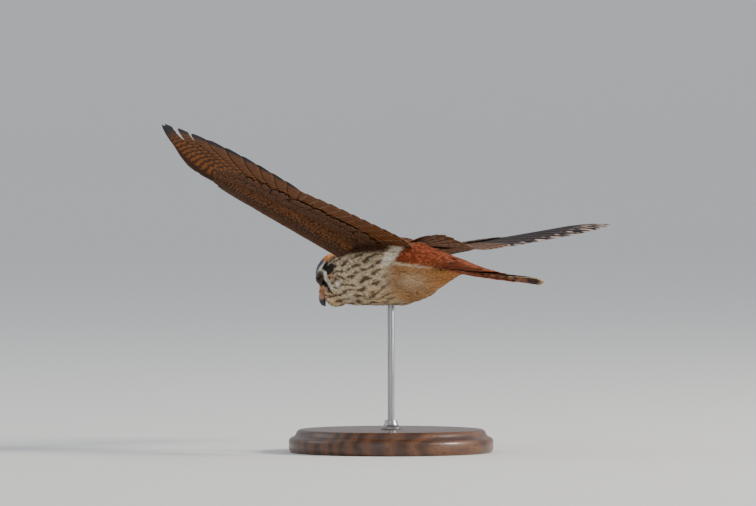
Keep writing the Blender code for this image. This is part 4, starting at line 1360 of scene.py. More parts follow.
# %% [markdown]
# The roots are shared out over the tracts, each of which becomes one piece with its own lengths and widths.
# Face feathers are 3 mm and hairlike. Those of the breast and flanks are long and soft. The long tail coverts
# reach over the base of the tail.
# %% Coat of head and body
def feather_sizes(points):
    """Length, half width and rise over the skin, in metres, for feathers of the body and head."""
    on_head = unplaced(points, HEAD) / MM
    neck = ease(15.5, 34, np.linalg.norm(on_head, axis=1))
    face = ease(2, -11, on_head[:, 1])
    back, up = points[:, 1] / MM, points[:, 2] / MM
    behind = ease(15, 55, back)
    over_tail = ease(48, 70, back) * ease(-4, 1, up)
    throat = ease(-44, -54, back) * ease(-8, -16, up)
    length = 5.2 - 2.4 * face
    length = length + (13.0 - length) * neck + 9.5 * behind + 12 * over_tail
    length = length - 0.55 * np.maximum(back - 76, 0) * over_tail
    width = (0.8 - 0.32 * face) * (1 - neck) + 2.1 * neck + 0.6 * behind
    rise = (0.9 - 0.3 * face) * (1 - neck) + 1.3 * neck + 0.4 * over_tail + 0.2 * throat
    return length * MM, width * MM, rise * MM


def make_coats():
    """Shares the roots out over the tracts, and makes the feathers of each."""
    head_reach = np.linalg.norm(unplaced(roots, HEAD), axis=1) / MM
    back, up = roots[:, 1] / MM, roots[:, 2] / MM
    is_head = head_reach < 18
    is_rump = ~is_head & (back > 24) & (up > 1.5 - rump_fall(back))
    is_vent = ~is_head & ~is_rump & (back > 24)
    is_back = ~is_head & ~is_rump & ~is_vent & (up > 11)
    is_breast = ~(is_head | is_rump | is_vent | is_back)
    tracts = {
        "feathers_head": is_head,
        "feathers_back": is_back,
        "feathers_rump": is_rump,
        "feathers_breast": is_breast,
        "feathers_vent": is_vent,
    }
    for seed, (name, chosen) in enumerate(tracts.items(), 20):
        here = roots[chosen]
        bake_map, rows = (head_map, 6) if name == "feathers_head" else (bottle_map, 7)
        contour_feathers(name, here, *feather_sizes(here), bake_map, seed, rows)


make_coats()

# %% [markdown]
# Wing coverts stand in rows, like tiles. Each row is laid out flat along the wing, from the leading edge back
# to the line where the flight feathers are rooted, and bent with the wing's formula. Lesser coverts are small
# and in many rows, then come two rows of median and one of long greater coverts that hide the quills. The
# hand has its own, narrower and lying nearly along the wing.
# %% Wing coverts
# Where along the wing, in mm, its coverts point how far back from its line, in degrees
LIE_PLACES = (-10, 40, 70, 82, 122)
LIE_ANGLES = (96, 78, 62, 50, 21)
# Rows: share of the way back from the leading edge, spacing, length, half width, in mm
LONG_ARM_ROWS = ((0.66, 3.4, 15, 3.0), (0.80, 4.2, 19, 3.6), (0.95, 5.0, 27, 4.4))
LONG_HAND_ROWS = ((0.62, 3.0, 14, 2.3), (0.79, 3.6, 19, 2.7), (0.95, 4.4, 30, 3.2))


def lesser_rows(count, last_share):
    """The many rows of small coverts, growing a little from the leading edge back."""
    run = np.linspace(0, 1, count)
    shares = 0.02 + (last_share - 0.02) * run
    return tuple(zip(shares, 1.9 + 1.1 * run, 6.5 + 5.0 * run, 1.5 + 0.9 * run))


ARM_ROWS = (*lesser_rows(12, 0.54), *LONG_ARM_ROWS)
HAND_ROWS = (*lesser_rows(8, 0.48), *LONG_HAND_ROWS)
COVERT_ROWS = 8
COVERT_BAR_GAP = 4.6 * MM


def covert_roots(rng):
    """Lengths out and forward, sizes and shares of the way back, of all coverts of one side of one wing."""
    found = []
    for rows, start, end in ((ARM_ROWS, -7, 74), (HAND_ROWS, 75, 121)):
        for order, (share, spacing, length, half) in enumerate(rows):
            out = np.arange(start + (order % 2) * spacing / 2, end, spacing) * MM
            out = out + rng.normal(0, 0.12, len(out)) * spacing * MM
            front, back = leading(out), base_line(out)
            forward = front - share * (front - back) + rng.normal(0, 0.35 * MM, len(out))
            shrink = 1 - 0.25 * ease(95 * MM, HAND_END_OUT, out)
            columns = out, forward, length * shrink * MM, half * shrink * MM, np.full_like(out, share)
            found.append(np.stack(columns))
    return np.concatenate(found, axis=1)


def make_coverts(side, word, upper):
    """All coverts of one side of one wing, laid out flat, then bent over the wing's surface."""
    rng = np.random.default_rng(40 + 2 * upper + (side > 0))
    out, forward, length, half, share = covert_roots(rng)
    count = len(out)
    angle = np.radians(np.interp(out, np.array(LIE_PLACES) * MM, LIE_ANGLES)) + rng.normal(0, 0.04, count)
    length = length * rng.uniform(0.92, 1.08, count)
    run = np.linspace(0, 1, COVERT_ROWS)
    wide = half[:, None] * np.maximum(outline(run, 0.66, 3.0), 0.14)
    spots = VANE_COLUMNS * wide[..., None] * (1 + rng.uniform(-0.1, 0.06, (count, COVERT_ROWS, 1)))
    ahead = (run * length[:, None])[..., None] - 0.12 * np.abs(spots)
    cos, sin = np.cos(angle)[:, None, None], np.sin(angle)[:, None, None]
    at_out = out[:, None, None] + ahead * cos + spots * sin
    at_forward = forward[:, None, None] - ahead * sin + spots * cos
    at_forward = np.minimum(at_forward, leading(at_out) + 0.4 * MM)
    reach = -0.35 * MM + (1.25 + 0.35 * (share > 0.7))[:, None, None] * MM * run[:, None] ** 0.6
    beyond = ease(HAND_END_OUT - 8 * MM, HAND_END_OUT + 10 * MM, at_out)
    over = (wing_half(at_out, at_forward) + reach) * (1 - 0.65 * beyond) - 0.05 * spots**2 / (1 * MM)
    direction = 1 if upper else -1
    top = wing_point(side, at_out, at_forward, direction * over)
    bottom = wing_point(side, at_out, at_forward, direction * (over - VANE_THICKNESS))[:, :, 1:-1]
    ground, pattern = wing_paint(out, forward - length * 0.5, upper)
    ground = ground * rng.uniform(0.88, 1.1, (count, 1))
    mark = np.tile(BLACK if upper else UNDER_MARK_AND_SHADE, (count, 1))
    bar_count = np.clip(length / COVERT_BAR_GAP, 1.5, 6)
    coats = {"ground": ground, "mark": mark, "pattern": pattern, "bar_count": bar_count}
    bake = np.clip(np.stack([(out / MM + 20) / 160, (forward / MM + 20) / 80], axis=1), 0, 1)
    name = f"coverts_{'upper' if upper else 'under'}_{word}"
    feathers = blade_mesh(name, top, bottom, (VANE_COLUMNS + 1) / 2, 0.01 + 0.98 * bake, coats)
    finish_piece(feathers, covert_finish, "plumage")


for wing_side, wing_word in SIDES:
    make_coverts(wing_side, wing_word, True)
    make_coverts(wing_side, wing_word, False)

# %% [markdown]
# A flight feather is a stiff curved shaft with a narrow web on its leading side and a wide one on its
# trailing side. The leading web of each lies over the trailing web of the next one out, so every vane is
# tipped about its own shaft. Outer primaries are narrowed towards their tips, which parts them into fingers.
# The same maker serves the wings and the tail: only the surface that it bends the flat feather over differs.
# %% Flight feather maker
FLIGHT_ROWS = 46
FLIGHT_COLUMNS = np.concatenate([np.linspace(-1, -0.08, 8), [0.0], np.linspace(0.08, 1, 4)])
FLIGHT_THICKNESS = 0.3 * MM
TIPPING = 0.035
SHAFT_RIDGE = 0.28 * MM
BAKE_STRIPS = 24


def edge_slope(tips, ahead, aside):
    """How fast each inner web must widen, back from its tip, for the tips to form one smooth edge."""
    inward = np.concatenate([tips[:1] - tips[1:2], tips[:-1] - tips[1:]])
    backward = np.maximum(-np.sum(inward * ahead, axis=1), 0.3 * MM)
    sideways = np.abs(np.sum(inward * aside, axis=1))
    return np.clip(sideways / backward, 0.3, 6)


def flight_feathers(
    name, node, surface_at, fan, webs, blunt, coats, seed, bow=0.0, narrowing=None, outer=1.0, edge_web=0.0
):
    """Flight feathers bent over a surface, for one node. fan holds their flat roots and tips, webs each
    one's inner and outer web, blunt the share of its length that the tip's round takes, bow how far it
    curves, narrowing how much its webs lose towards the tip, outer the side of its outer web, and edge_web
    the width of the last one's outer web at its base."""
    rng = np.random.default_rng(seed)
    roots_flat, tips_flat = fan
    count = len(roots_flat)
    blunt, bow, outer = (np.broadcast_to(value, count) for value in (blunt, bow, outer))
    narrowing = np.zeros((count, 2)) if narrowing is None else narrowing
    steepest = np.where((np.arange(count) > count - 3) & (edge_web > 0), 0.9, 6)[:, None]
    run = np.linspace(0, 1, FLIGHT_ROWS) ** 0.9
    run = np.sort(np.concatenate([run[:-6], 1 - 0.07 * np.linspace(1, 0, 6) ** 1.7]))
    line = tips_flat - roots_flat
    length = np.linalg.norm(line, axis=1)
    ahead = line / length[:, None]
    aside = np.stack([-ahead[:, 1], ahead[:, 0]], axis=1) * outer[:, None]
    bend = (bow * length)[:, None] * 4 * run * (1 - run)
    tilt = (bow[:, None] * 4 * (1 - 2 * run))[..., None]
    shaft = roots_flat[:, None] + line[:, None] * run[:, None] + aside[:, None] * bend[..., None]
    cross = unit(aside[:, None] - ahead[:, None] * tilt)
    inner, leading_web = webs[:, 0:1], webs[:, 1:2]
    notch_in = 1 - narrowing[:, 0:1] * ease(0.45, 0.72, run)
    notch_out = 1 - narrowing[:, 1:2] * ease(0.38, 0.6, run)
    to_end = np.clip((run - (1 - blunt)[:, None]) / blunt[:, None], 0, 1)
    tip = np.sqrt(np.maximum(1 - to_end**2.4, 0.0009))
    opening = 0.1 + 0.9 * ease(0.0, 0.2, run)
    inner_half, outer_half = inner * notch_in * opening, leading_web * notch_out * tip * opening
    slope = np.minimum(edge_slope(tips_flat, ahead, aside)[:, None], steepest)
    tilted = tilt[..., 0]
    leaning = 1 / np.hypot(1, tilted)
    room = leaning - slope * (-tilted * leaning - 0.12 + 0.28 * (1 - run))
    limit = (slope * (length[:, None] * (1 - run) + 0.3 * MM) + bend) / np.maximum(room, 0.12)
    inner_half = np.minimum((inner_half**-6 + limit**-6) ** (-1 / 6), inner * tip)
    base = np.where(np.arange(count) == count - 1, edge_web, 0.0)[:, None]
    outer_half = np.maximum(outer_half, base * ease(0.55, 0.0, run) + outer_half * (base > 0))
    sides = np.where(FLIGHT_COLUMNS < 0, 1.0, 0.0)
    half = inner_half[..., None] * sides + outer_half[..., None] * (1 - sides)
    splits = np.ones((count, FLIGHT_ROWS, len(FLIGHT_COLUMNS)))
    for column in (0, len(FLIGHT_COLUMNS) - 1):
        parted = (rng.random((count, FLIGHT_ROWS)) < 0.06) & (run < 0.9)
        splits[:, :, column] -= parted * rng.uniform(0.08, 0.3, (count, FLIGHT_ROWS))
    spots = FLIGHT_COLUMNS * half * splits
    slant = -0.28 * np.abs(spots) * (1 - run)[:, None] + 0.12 * np.abs(spots)
    flat = shaft[:, :, None] + cross[:, :, None] * spots[..., None] + ahead[:, None, None] * slant[..., None]
    ridge = SHAFT_RIDGE * np.exp(-((spots / (0.55 * MM)) ** 2)) * (1.2 - run)[:, None]
    lift = TIPPING * spots - 0.0015 * spots**2 / MM
    top = surface_at(flat[..., 0], flat[..., 1], lift + ridge + FLIGHT_THICKNESS / 2)
    bottom = surface_at(flat[..., 0], flat[..., 1], lift - 0.5 * ridge - FLIGHT_THICKNESS / 2)
    across = (FLIGHT_COLUMNS + 1) / 2
    coats = coats(count, run, length)
    feathers = blade_mesh(name, top, bottom[:, :, 1:-1], across, None, coats, BAKE_STRIPS)
    finish_piece(feathers, flight_finish, "flight_feathers", node)


# %% [markdown]
# The ten primaries are dark above, with pale notches in their inner webs near the tips, and the thirteen
# secondaries are rufous with black bars. From below both are pale buff painted a warm brown, as in shade with
# sun shining through, crossed by narrow dark bars, and the tips are dark. The inner secondaries are painted
# darker still below, as shade near the body.
# %% Primaries and secondaries
PRIMARY_COUNT = 10
PRIMARY_LENGTHS = np.array([66, 72, 79, 87, 95, 103, 109, 114, 116, 104]) * MM
SECONDARY_COUNT = 13
TERTIAL_TUCK = 12 * MM
ALULA_TUCK = 3.5 * MM
ALULA_LIFT = 0.6 * MM
FLIGHT_BAR_GAP = 6.4 * MM
PRIMARY_ABOVE = linear(52, 44, 48)
PRIMARY_SPOTS = linear(220, 192, 176)
SECONDARY_ABOVE = linear(104, 66, 50)
TERTIAL_ABOVE = linear(150, 88, 56)
# Painted shade: the undersides' buff is coloured a warm brown, as in shade with sun shining through.
FLIGHT_UNDER_SHADED = linear(124, 72, 32)
FLIGHT_UNDER_BARS = linear(46, 26, 14)
DARK_TIP = linear(34, 32, 38)


def wing_fan(first, last, angle_first, angle_last, spread, lengths):
    """Flat roots and tips of a fan of feathers along the base line."""
    share = np.linspace(0, 1, len(lengths))
    out = first + (last - first) * share
    angle = np.radians(angle_last + (angle_first - angle_last) * (1 - share) ** spread)
    start = np.stack([out, base_line(out)], axis=1)
    return start, start + lengths[:, None] * np.stack([np.cos(angle), -np.sin(angle)], axis=1)


def flight_coats(above, below, above_mark, below_mark, notched, bars, fringe, dark_tip, dark_edge=0.0):
    """Stored values for flight feathers. above and below are one colour, or one for each feather. notched
    keeps the upper bars to the inner web near the tip, dark_tip is the strength and length of the dark end,
    and dark_edge darkens the last one's outer web from below and lengthens the last two's dark ends."""

    def coats(count, run, length):
        faces = len(run) - 1
        middle = (run[:-1] + run[1:]) / 2
        depth = dark_tip[1] * (1 + dark_edge * (np.arange(count) >= count - 2))[:, None]
        end = ease(1 - depth, 1 - depth * 0.4, middle[None])[..., None] * dark_tip[0]
        ground = np.zeros((count, 2, faces, 3))
        ground[:, 0] = np.broadcast_to(above, (count, 3))[:, None]
        ground[:, 1] = np.broadcast_to(below, (count, 3))[:, None]
        ground = ground + (DARK_TIP - ground) * end[:, None]
        mark = np.zeros_like(ground)
        mark[:, 0], mark[:, 1] = above_mark, below_mark
        pattern = np.zeros_like(ground)
        pattern[:, 0, :, 0] = notched
        pattern[-1, 1, :, 0] = -dark_edge
        pattern[:, :, :, 1] = bars * (1 - end[:, :, 0])[:, None]
        pattern[:, 0, :, 2], pattern[:, 1, :, 2] = fringe, 0.12 * fringe
        number = np.zeros((count, 2, faces, 1)) + (length / FLIGHT_BAR_GAP)[:, None, None, None]
        if notched:
            pattern[:, 0, :, 1] = bars * (1 - ease(0.86, 0.76, middle))
            number[:, 0] *= 0.7
        return {"ground": ground, "mark": mark, "pattern": pattern, "bar_count": number}

    return coats


def by_order(order, *tables):
    """Columns of values, each read for every feather from a short table (orders, values)."""
    return np.stack([np.interp(order, at, values) for at, values in tables], axis=1)


def make_primaries(side, word):
    order = np.arange(PRIMARY_COUNT)
    webs = by_order(order, ([0, 4, 8, 9], [13, 14, 13, 10.5]), ([0, 5, 9], [4.6, 4.4, 3.4])) * MM
    loss = by_order(order, ([5, 7, 8, 9], [0, 0.45, 0.6, 0.6]), ([5, 7, 9], [0, 0.45, 0.5]))
    blunt = np.interp(order, [0, 6, 8, 9], [0.06, 0.09, 0.3, 0.45])
    bow = 0.115 * np.minimum(1, order / 5)
    fan = wing_fan(WRIST_OUT, HAND_END_OUT, 52, 19, 1.5, PRIMARY_LENGTHS)
    marks = PRIMARY_SPOTS, FLIGHT_UNDER_BARS
    coats = flight_coats(PRIMARY_ABOVE, FLIGHT_UNDER_SHADED, *marks, True, 0.85, 0.35, (1.0, 0.2), 0.9)
    names = f"primaries_{word}", f"wing_{word}_primaries"
    edges = {"bow": bow, "narrowing": loss, "edge_web": 5.5 * MM}
    flight_feathers(*names, partial(wing_point, side), fan, webs, blunt, coats, 60 + side, **edges)


def make_secondaries(side, word):
    order = np.arange(SECONDARY_COUNT)
    lengths = np.linspace(61, 57, SECONDARY_COUNT) * MM
    lengths -= TERTIAL_TUCK * (side > 0) * np.exp(-order / 1.2)
    fan = wing_fan(-6 * MM, WRIST_OUT - 1.5 * MM, 95, 61, 1.0, lengths)
    webs = by_order(order, ([0, 3, 12], [9, 9.5, 10.5]), ([0, 3, 12], [7, 5.5, 4.5])) * MM
    tertial = ease(4.5, 1.5, order)[:, None]
    above = SECONDARY_ABOVE + (TERTIAL_ABOVE - SECONDARY_ABOVE) * tertial
    # Painted shade: the inner secondaries' undersides darken towards the body.
    below = UNDER_MARK_AND_SHADE + (FLIGHT_UNDER_SHADED - UNDER_MARK_AND_SHADE) * ease(-3, 4, order)[:, None]
    coats = flight_coats(above, below, BLACK, FLIGHT_UNDER_BARS, False, 0.85, 1.0, (0.5, 0.1))
    names = f"secondaries_{word}", f"wing_{word}_secondaries"
    flight_feathers(*names, partial(wing_point, side), fan, webs, 0.16, coats, 64 + side)


def make_alula(side, word):
    """Three small stiff feathers on the thumb, at the bend of the wing."""
    start = np.array([[79, 40.5], [80, 39], [81, 37.5]]) * MM
    end = np.array([[116, 44.0], [111, 41.0], [105, 38.0]]) * MM
    webs = np.array([[4.0, 1.6], [4.2, 1.8], [4.2, 2.0]]) * MM
    coats = flight_coats(PRIMARY_ABOVE, UNDER_MARK_AND_SHADE, PRIMARY_SPOTS, UNDER_MARK_AND_SHADE, True, 0.3, 0.3, (0.4, 0.2))

    def bent(out, forward, lift):
        return wing_point(side, out, forward - (0 if side > 0 else ALULA_TUCK), lift + ALULA_LIFT)

    names = f"alula_{word}", f"wing_{word}_alula"
    flight_feathers(*names, bent, (start, end), webs, 0.3, coats, 68 + side, bow=0.03)


for wing_side, wing_word in SIDES:
    make_primaries(wing_side, wing_word)
    make_secondaries(wing_side, wing_word)
    make_alula(wing_side, wing_word)

# %% [markdown]
# Twelve tail feathers, nearly closed, with the middle pair on top. They are rufous with about ten narrow
# black bars, a broad black band before the end and a pale tip. The tail droops a little, as it does when the
# bird looks down, and is arched from side to side.
# %% Tail
TAIL_LENGTH = 122 * MM
TAIL_ROOT = np.array([0, 40, 0.5]) * MM
TAIL_DROOP = math.radians(8.0)
TAIL_HALF_WIDTH = (9 * MM, 21 * MM)
TAIL_ARCH = 2.5 * MM
TAIL_COUNT = 12
TAIL_SPREAD = (7.0 * MM, 16.5 * MM)
TAIL_BARS = 11.5
TAIL_ABOVE = linear(138, 68, 44)
TAIL_UNDER = linear(140, 84, 52)
TAIL_TIP = linear(214, 186, 150)


def tail_point(across, back, lift):
    """Points of the tail in the bird's frame, for lengths across it and back along it."""
    run = np.clip(back / TAIL_LENGTH, 0, 1)
    wide = TAIL_HALF_WIDTH[0] + (TAIL_HALF_WIDTH[1] - TAIL_HALF_WIDTH[0]) * run**0.8
    arch = -TAIL_ARCH * np.clip(across / wide, -1.2, 1.2) ** 2 * (0.4 + 0.6 * run) + lift
    y = math.cos(TAIL_DROOP) * back + math.sin(TAIL_DROOP) * arch
    z = -math.sin(TAIL_DROOP) * back + math.cos(TAIL_DROOP) * arch
    return np.stack([across, y, z], axis=-1) + TAIL_ROOT


def tail_coats(count, run, length):
    """The values of flight_coats, with a broad dark band and a pale tip."""
    plain = flight_coats(TAIL_ABOVE, TAIL_UNDER, BLACK, UNDER_MARK_AND_SHADE, False, 0.8, 0.1, (0, 0.1))
    coats = plain(count, run, length)
    middle = (run[:-1] + run[1:]) / 2
    band = ease(0.865, 0.885, middle) * ease(0.985, 0.975, middle)
    tip = ease(0.972, 0.985, middle)
    dark = np.stack([BLACK, UNDER_MARK_AND_SHADE])[None, :, None]
    for colour, share in ((dark, band), (TAIL_TIP, tip)):
        coats["ground"] = coats["ground"] + (colour - coats["ground"]) * share[None, None, :, None]
    coats["pattern"][..., 1] *= ease(0.86, 0.84, middle)
    coats["bar_count"] = np.full_like(coats["bar_count"], TAIL_BARS)
    return coats


def make_tail():
    spread = np.linspace(-1, 1, TAIL_COUNT)
    start = np.stack([spread * TAIL_SPREAD[0], np.full(TAIL_COUNT, 4.0 * MM)], axis=1)
    reach = TAIL_LENGTH * (1 - 0.10 * np.abs(spread) ** 2.5)
    end = np.stack([spread * TAIL_SPREAD[1], reach], axis=1)
    webs = by_order(np.abs(spread), ([0, 1], [6.8, 6.8]), ([0, 1], [6.2, 3.6])) * MM
    stack = (np.abs(spread) - 0.5) * -1.0 * MM

    def bent(across, back, lift):
        return tail_point(across, back, lift + stack[:, None, None])

    outer = -np.sign(spread)
    flight_feathers("tail_feathers", "tail", bent, (start, end), webs, 0.1, tail_coats, 70, outer=outer)


make_tail()

# %% [markdown]
# The bill is horn: a short cere at its base with a round nostril, then a hooked upper half with the falcons'
# tooth on its edge, and a lower half that fits under it. Each is a loft of rounded sections along a bending
# line. The helpers here serve it: one makes the sections, another the closed mesh through them, which the
# eyes, toes and claws use too.
# %% Lofts
def lofted(name, sections, caps=True):
    """A closed body through rings, given as an array of rings, points and 3."""
    count = sections.shape[1]
    body = bmesh.new()
    loops = [[body.verts.new(p) for p in ring] for ring in sections.tolist()]
    for first, second in zip(loops, loops[1:]):
        for i in range(count):
            body.faces.new((first[i], first[(i + 1) % count], second[(i + 1) % count], second[i]))
    if caps:
        body.faces.new(loops[0][::-1])
        body.faces.new(loops[-1])
    bmesh.ops.recalc_face_normals(body, faces=body.faces)
    if body.calc_volume(signed=True) < 0:
        bmesh.ops.reverse_faces(body, faces=body.faces)
    mesh = bpy.data.meshes.new(name)
    body.to_mesh(mesh)
    body.free()
    mesh.shade_smooth()
    return bpy.data.objects.new(name, mesh)


def full_circle(count):
    return np.linspace(0, 2 * math.pi, count, endpoint=False)


def horn_rings(stations, steps, count=32, square=2.0):
    """Sections along a bending horn, in the head's frame. square over 2 flattens the sections' sides."""
    line = smooth_curve([(k, *row) for k, row in enumerate(stations)])
    at = np.linspace(0, len(stations) - 1, steps)
    along, height, wide, tall = line(at).T * MM
    ahead = unit(np.stack([-np.gradient(along), np.gradient(height)], axis=1))
    up_y, up_z = ahead[:, 1], -ahead[:, 0]
    turn = full_circle(count)
    cos = np.sign(np.cos(turn)) * np.abs(np.cos(turn)) ** (2 / square)
    sin = np.sign(np.sin(turn)) * np.abs(np.sin(turn)) ** (2 / square)
    across, up = wide[:, None] * cos, tall[:, None] * sin
    y = -along[:, None] + up * up_y[:, None]
    z = height[:, None] + up * up_z[:, None]
    return np.stack([across, y, z], axis=2), at / (len(stations) - 1), sin


# %% [markdown]
# The stations are nearly those of the solids, and the sections between them many more. The tooth on the
# upper bill's edge and the ridge along its top are small displacements of the loft's points, and so are the
# nostrils, each a round pit with a raised rim.
# %% Bill and cere
# Stations of each horn: length from the head's middle, height, half width and half height, in mm
CERE_STATIONS = (
    (11, -0.6, 5.0, 5.2), (15.2, -0.5, 4.6, 4.7), (17.3, -0.9, 4.15, 4.25), (17.6, -0.95, 3.7, 3.8),
)
UPPER_STATIONS = (
    (16.8, -0.8, 3.9, 3.7), (20, -1.3, 3.4, 3.2), (22.3, -2.4, 2.6, 2.6),
    (24, -4.2, 1.6, 1.8), (24.6, -6.6, 0.45, 0.6), (24.5, -7.2, 0.12, 0.15),
)
LOWER_STATIONS = (
    (12, -6.6, 3.6, 1.3), (17, -6.5, 3.1, 1.25), (20.6, -6.2, 1.9, 0.8), (21.2, -6.0, 1.0, 0.45),
)
NOSTRIL = np.array([3.95, -16.0, 0.7]) * MM
TOOTH_AT = 0.62
TOOTH_DEPTH = 0.75 * MM
CULMEN_HEIGHT = 0.2 * MM


def head_loft(name, rings):
    return lofted(name, placed(placed(rings, HEAD), BIRD))


def make_upper_bill():
    rings, run, sin = horn_rings(UPPER_STATIONS, 44, square=2.2)
    tooth = blob((run[:, None] - TOOTH_AT, 0.06), (sin[None] + 0.75, 0.3))
    rings[:, :, 2] -= TOOTH_DEPTH * tooth
    rings[:, :, 2] += np.maximum(sin, 0)[None] ** 6 * CULMEN_HEIGHT * (1 - run)[:, None]
    return head_loft("bill_upper_horn", rings)


def make_cere():
    rings = horn_rings(CERE_STATIONS, 30, count=48)[0]
    for side in (1, -1):
        away = rings - NOSTRIL * np.array([side, 1, 1])
        reach = np.linalg.norm(away, axis=2, keepdims=True) / MM
        pit = -0.75 * np.exp(-((reach / 0.75) ** 4)) + 0.3 * np.exp(-(((reach - 1.15) / 0.35) ** 2))
        rings = rings + pit * MM * np.array([side, 0, 0.1])
    return head_loft("cere_skin", rings)


# %% [markdown]
# Horn, claw and steel are alike to a shader: one noise drives both a faint change of colour and the polish.
# The bill also darkens towards its hook, by height. Bare skin has cells for its scales, a darker crease
# between them, and light that travels a little way under the surface.
# %% Horn and bare skin
HOOK_DARK = linear(24, 26, 34)
BILL_HEIGHTS = (7.0 * MM, 4.0 * MM)
SKIN_LIGHT_REACH = (2.0 * MM, 1.0 * MM, 0.5 * MM)


def uneven_finish(name, first, second, scale, rough, detail=3.0, stretch=None, **constants):
    """A finish whose colour and roughness follow one noise: material, tree, shader, noise and colour."""
    made, tree, shader = new_finish(name, 0.3, **constants)
    uneven = noise(tree, scale, detail, stretch=stretch)
    colour = mixed(tree, uneven, rgba(linear(*first)), rgba(linear(*second)))
    fed(tree, shader, Base_Color=colour, Roughness=sums(tree, "MULTIPLY_ADD", uneven, *rough))
    return made, tree, shader, uneven, colour


def horn_finish():
    """Brown horn, darkening to black at the hook, with faint growth lines and a polished face."""
    made, tree, shader, _, base = uneven_finish(
        "bill_horn", (150, 112, 94), (176, 132, 104), 700.0, (0.2, 0.25), Coat_Weight=0.25, Coat_Roughness=0.2
    )
    lowest = min(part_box("bill_upper")[0][2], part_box("bill_lower")[0][2])
    dark_from, dark_to = (lowest + height for height in BILL_HEIGHTS)
    towards_tip = ramp(tree, split(tree, own_space(tree))["Z"], dark_from, dark_to)
    fed(tree, shader, Base_Color=mixed(tree, towards_tip, base, rgba(HOOK_DARK)))
    bump(tree, shader, noise(tree, 500.0, 2.0, stretch=(1, 1, 5)), 0.25, 0.05 * MM)
    return made


def bare_finish(name, colour, second, scale):
    """Bare skin: cere, lids, shanks and toes, with fine scales as bump."""
    made, tree, shader = new_finish(name, 0.45, Specular_IOR_Level=0.45, Subsurface_Weight=0.08)
    cells = new_node(tree, "TexVoronoi", Scale=scale, Vector=own_space(tree)).outputs["Distance"]
    crease = ramp(tree, cells, 0.35, 0.75)
    base = mixed(tree, noise(tree, 400.0, 3.0), rgba(colour), rgba(second))
    darker = mixed(tree, sums(tree, "MULTIPLY", crease, 0.35), base, rgba(second * 0.45))
    rough = sums(tree, "MULTIPLY_ADD", crease, 0.2, 0.4)
    fed(tree, shader, Base_Color=darker, Roughness=rough, Subsurface_Radius=SKIN_LIGHT_REACH)
    bump(tree, shader, sums(tree, "SUBTRACT", 1.0, cells), 0.4, 0.12 * MM)
    return made


bill_material = horn_finish()
cere_material = bare_finish("cere_skin", linear(178, 122, 64), linear(146, 92, 60), 2200.0)
lower_bill = head_loft("bill_lower_horn", horn_rings(LOWER_STATIONS, 24)[0])
for piece, material, slot_name, node_name in (
    (make_upper_bill(), bill_material, "horn", "bill_upper"),
    (lower_bill, bill_material, "horn", "bill_lower"),
    (make_cere(), cere_material, "bare_skin", "cere"),
):
    finish_piece(piece, material, slot_name, node_name)

# %% [markdown]
# A falcon's eye is large, dark brown and very wet. The ball has a domed cornea over the iris, and the iris
# and pupil are painted by distance from the eye's axis. Round it sits a ring of bare skin, thicker above and
# slightly pointed at its corners, which is what gives the eye its stare.
# %% Eyes and lids
PUPIL_EDGE = (0.40, 0.33)
IRIS_EDGE = (0.62, 0.74)
EYE_RADIUS = 4.7 * MM
EYE_AXIS = unit(np.array([0.93, -0.3, 0.12]))


def eye_frame(side):
    """From the eye's own frame, +Z out of the head, to the bird's."""
    axis = Vector((EYE_AXIS[0] * side, EYE_AXIS[1], EYE_AXIS[2]))
    turn_to = axis.to_track_quat("Z", "Y").to_matrix().to_4x4()
    middle = Vector((EYE_MIDDLE[0] * side, EYE_MIDDLE[1], EYE_MIDDLE[2]))
    return bird_frame @ head_frame @ Matrix.Translation(middle) @ turn_to


def on_ball(reach, polar, turn):
    """Points at distances from the eye's middle, angles from its axis and angles round it."""
    aside = reach * np.sin(polar)
    return np.stack([aside * np.cos(turn), aside * np.sin(turn), reach * np.cos(polar) + 0 * turn], axis=-1)


def eye_rings(count=48, rows=30):
    """A ball turned about +Z with a low dome over the iris."""
    polar = np.linspace(0.02, math.pi - 0.02, rows)[:, None]
    dome = 1 + 0.06 * np.exp(-((polar / 0.62) ** 4))
    return on_ball(EYE_RADIUS * dome, polar, full_circle(count)[None])


def lid_rings(count=64, tube=14):
    """A ring of skin that hugs the ball: its opening is an almond a little longer than it is high."""
    turn, around = full_circle(count)[:, None], full_circle(tube)[None]
    opening = 0.70 + 0.05 * np.cos(2 * turn) + 0.03 * np.abs(np.cos(turn)) ** 6
    thick = (0.42 + 0.1 * np.sin(turn)) * MM * (1 + 0.05 * np.sin(26 * turn))
    polar = opening + 0.17 + thick / EYE_RADIUS * np.cos(around) * 1.35
    rings = on_ball(EYE_RADIUS + thick * (0.25 + 0.85 * np.sin(around)), polar, turn)
    return np.concatenate([rings, rings[:1]])


def eye_finish():
    coat = {"Coat_Weight": 0.12, "Coat_Roughness": 0.03}
    made, tree, shader = new_finish("eye_wet", 0.1, Specular_IOR_Level=0.15, **coat)
    across, up, _ = split(tree, vane_map(tree))
    squares = (sums(tree, "POWER", length, 2.0) for length in (across, up))
    radius = sums(tree, "SQRT", sums(tree, "ADD", *squares))
    spokes = noise(tree, 5.0, 3.0, vane_map(tree))
    colour = mixed(tree, spokes, rgba(linear(46, 24, 14)), rgba(linear(78, 42, 22)))
    colour = mixed(tree, ramp(tree, radius, *PUPIL_EDGE), colour, rgba(linear(6, 5, 6)))
    colour = mixed(tree, ramp(tree, radius, *IRIS_EDGE), colour, rgba(linear(14, 10, 10)))
    fed(tree, shader, Base_Color=colour)
    return made


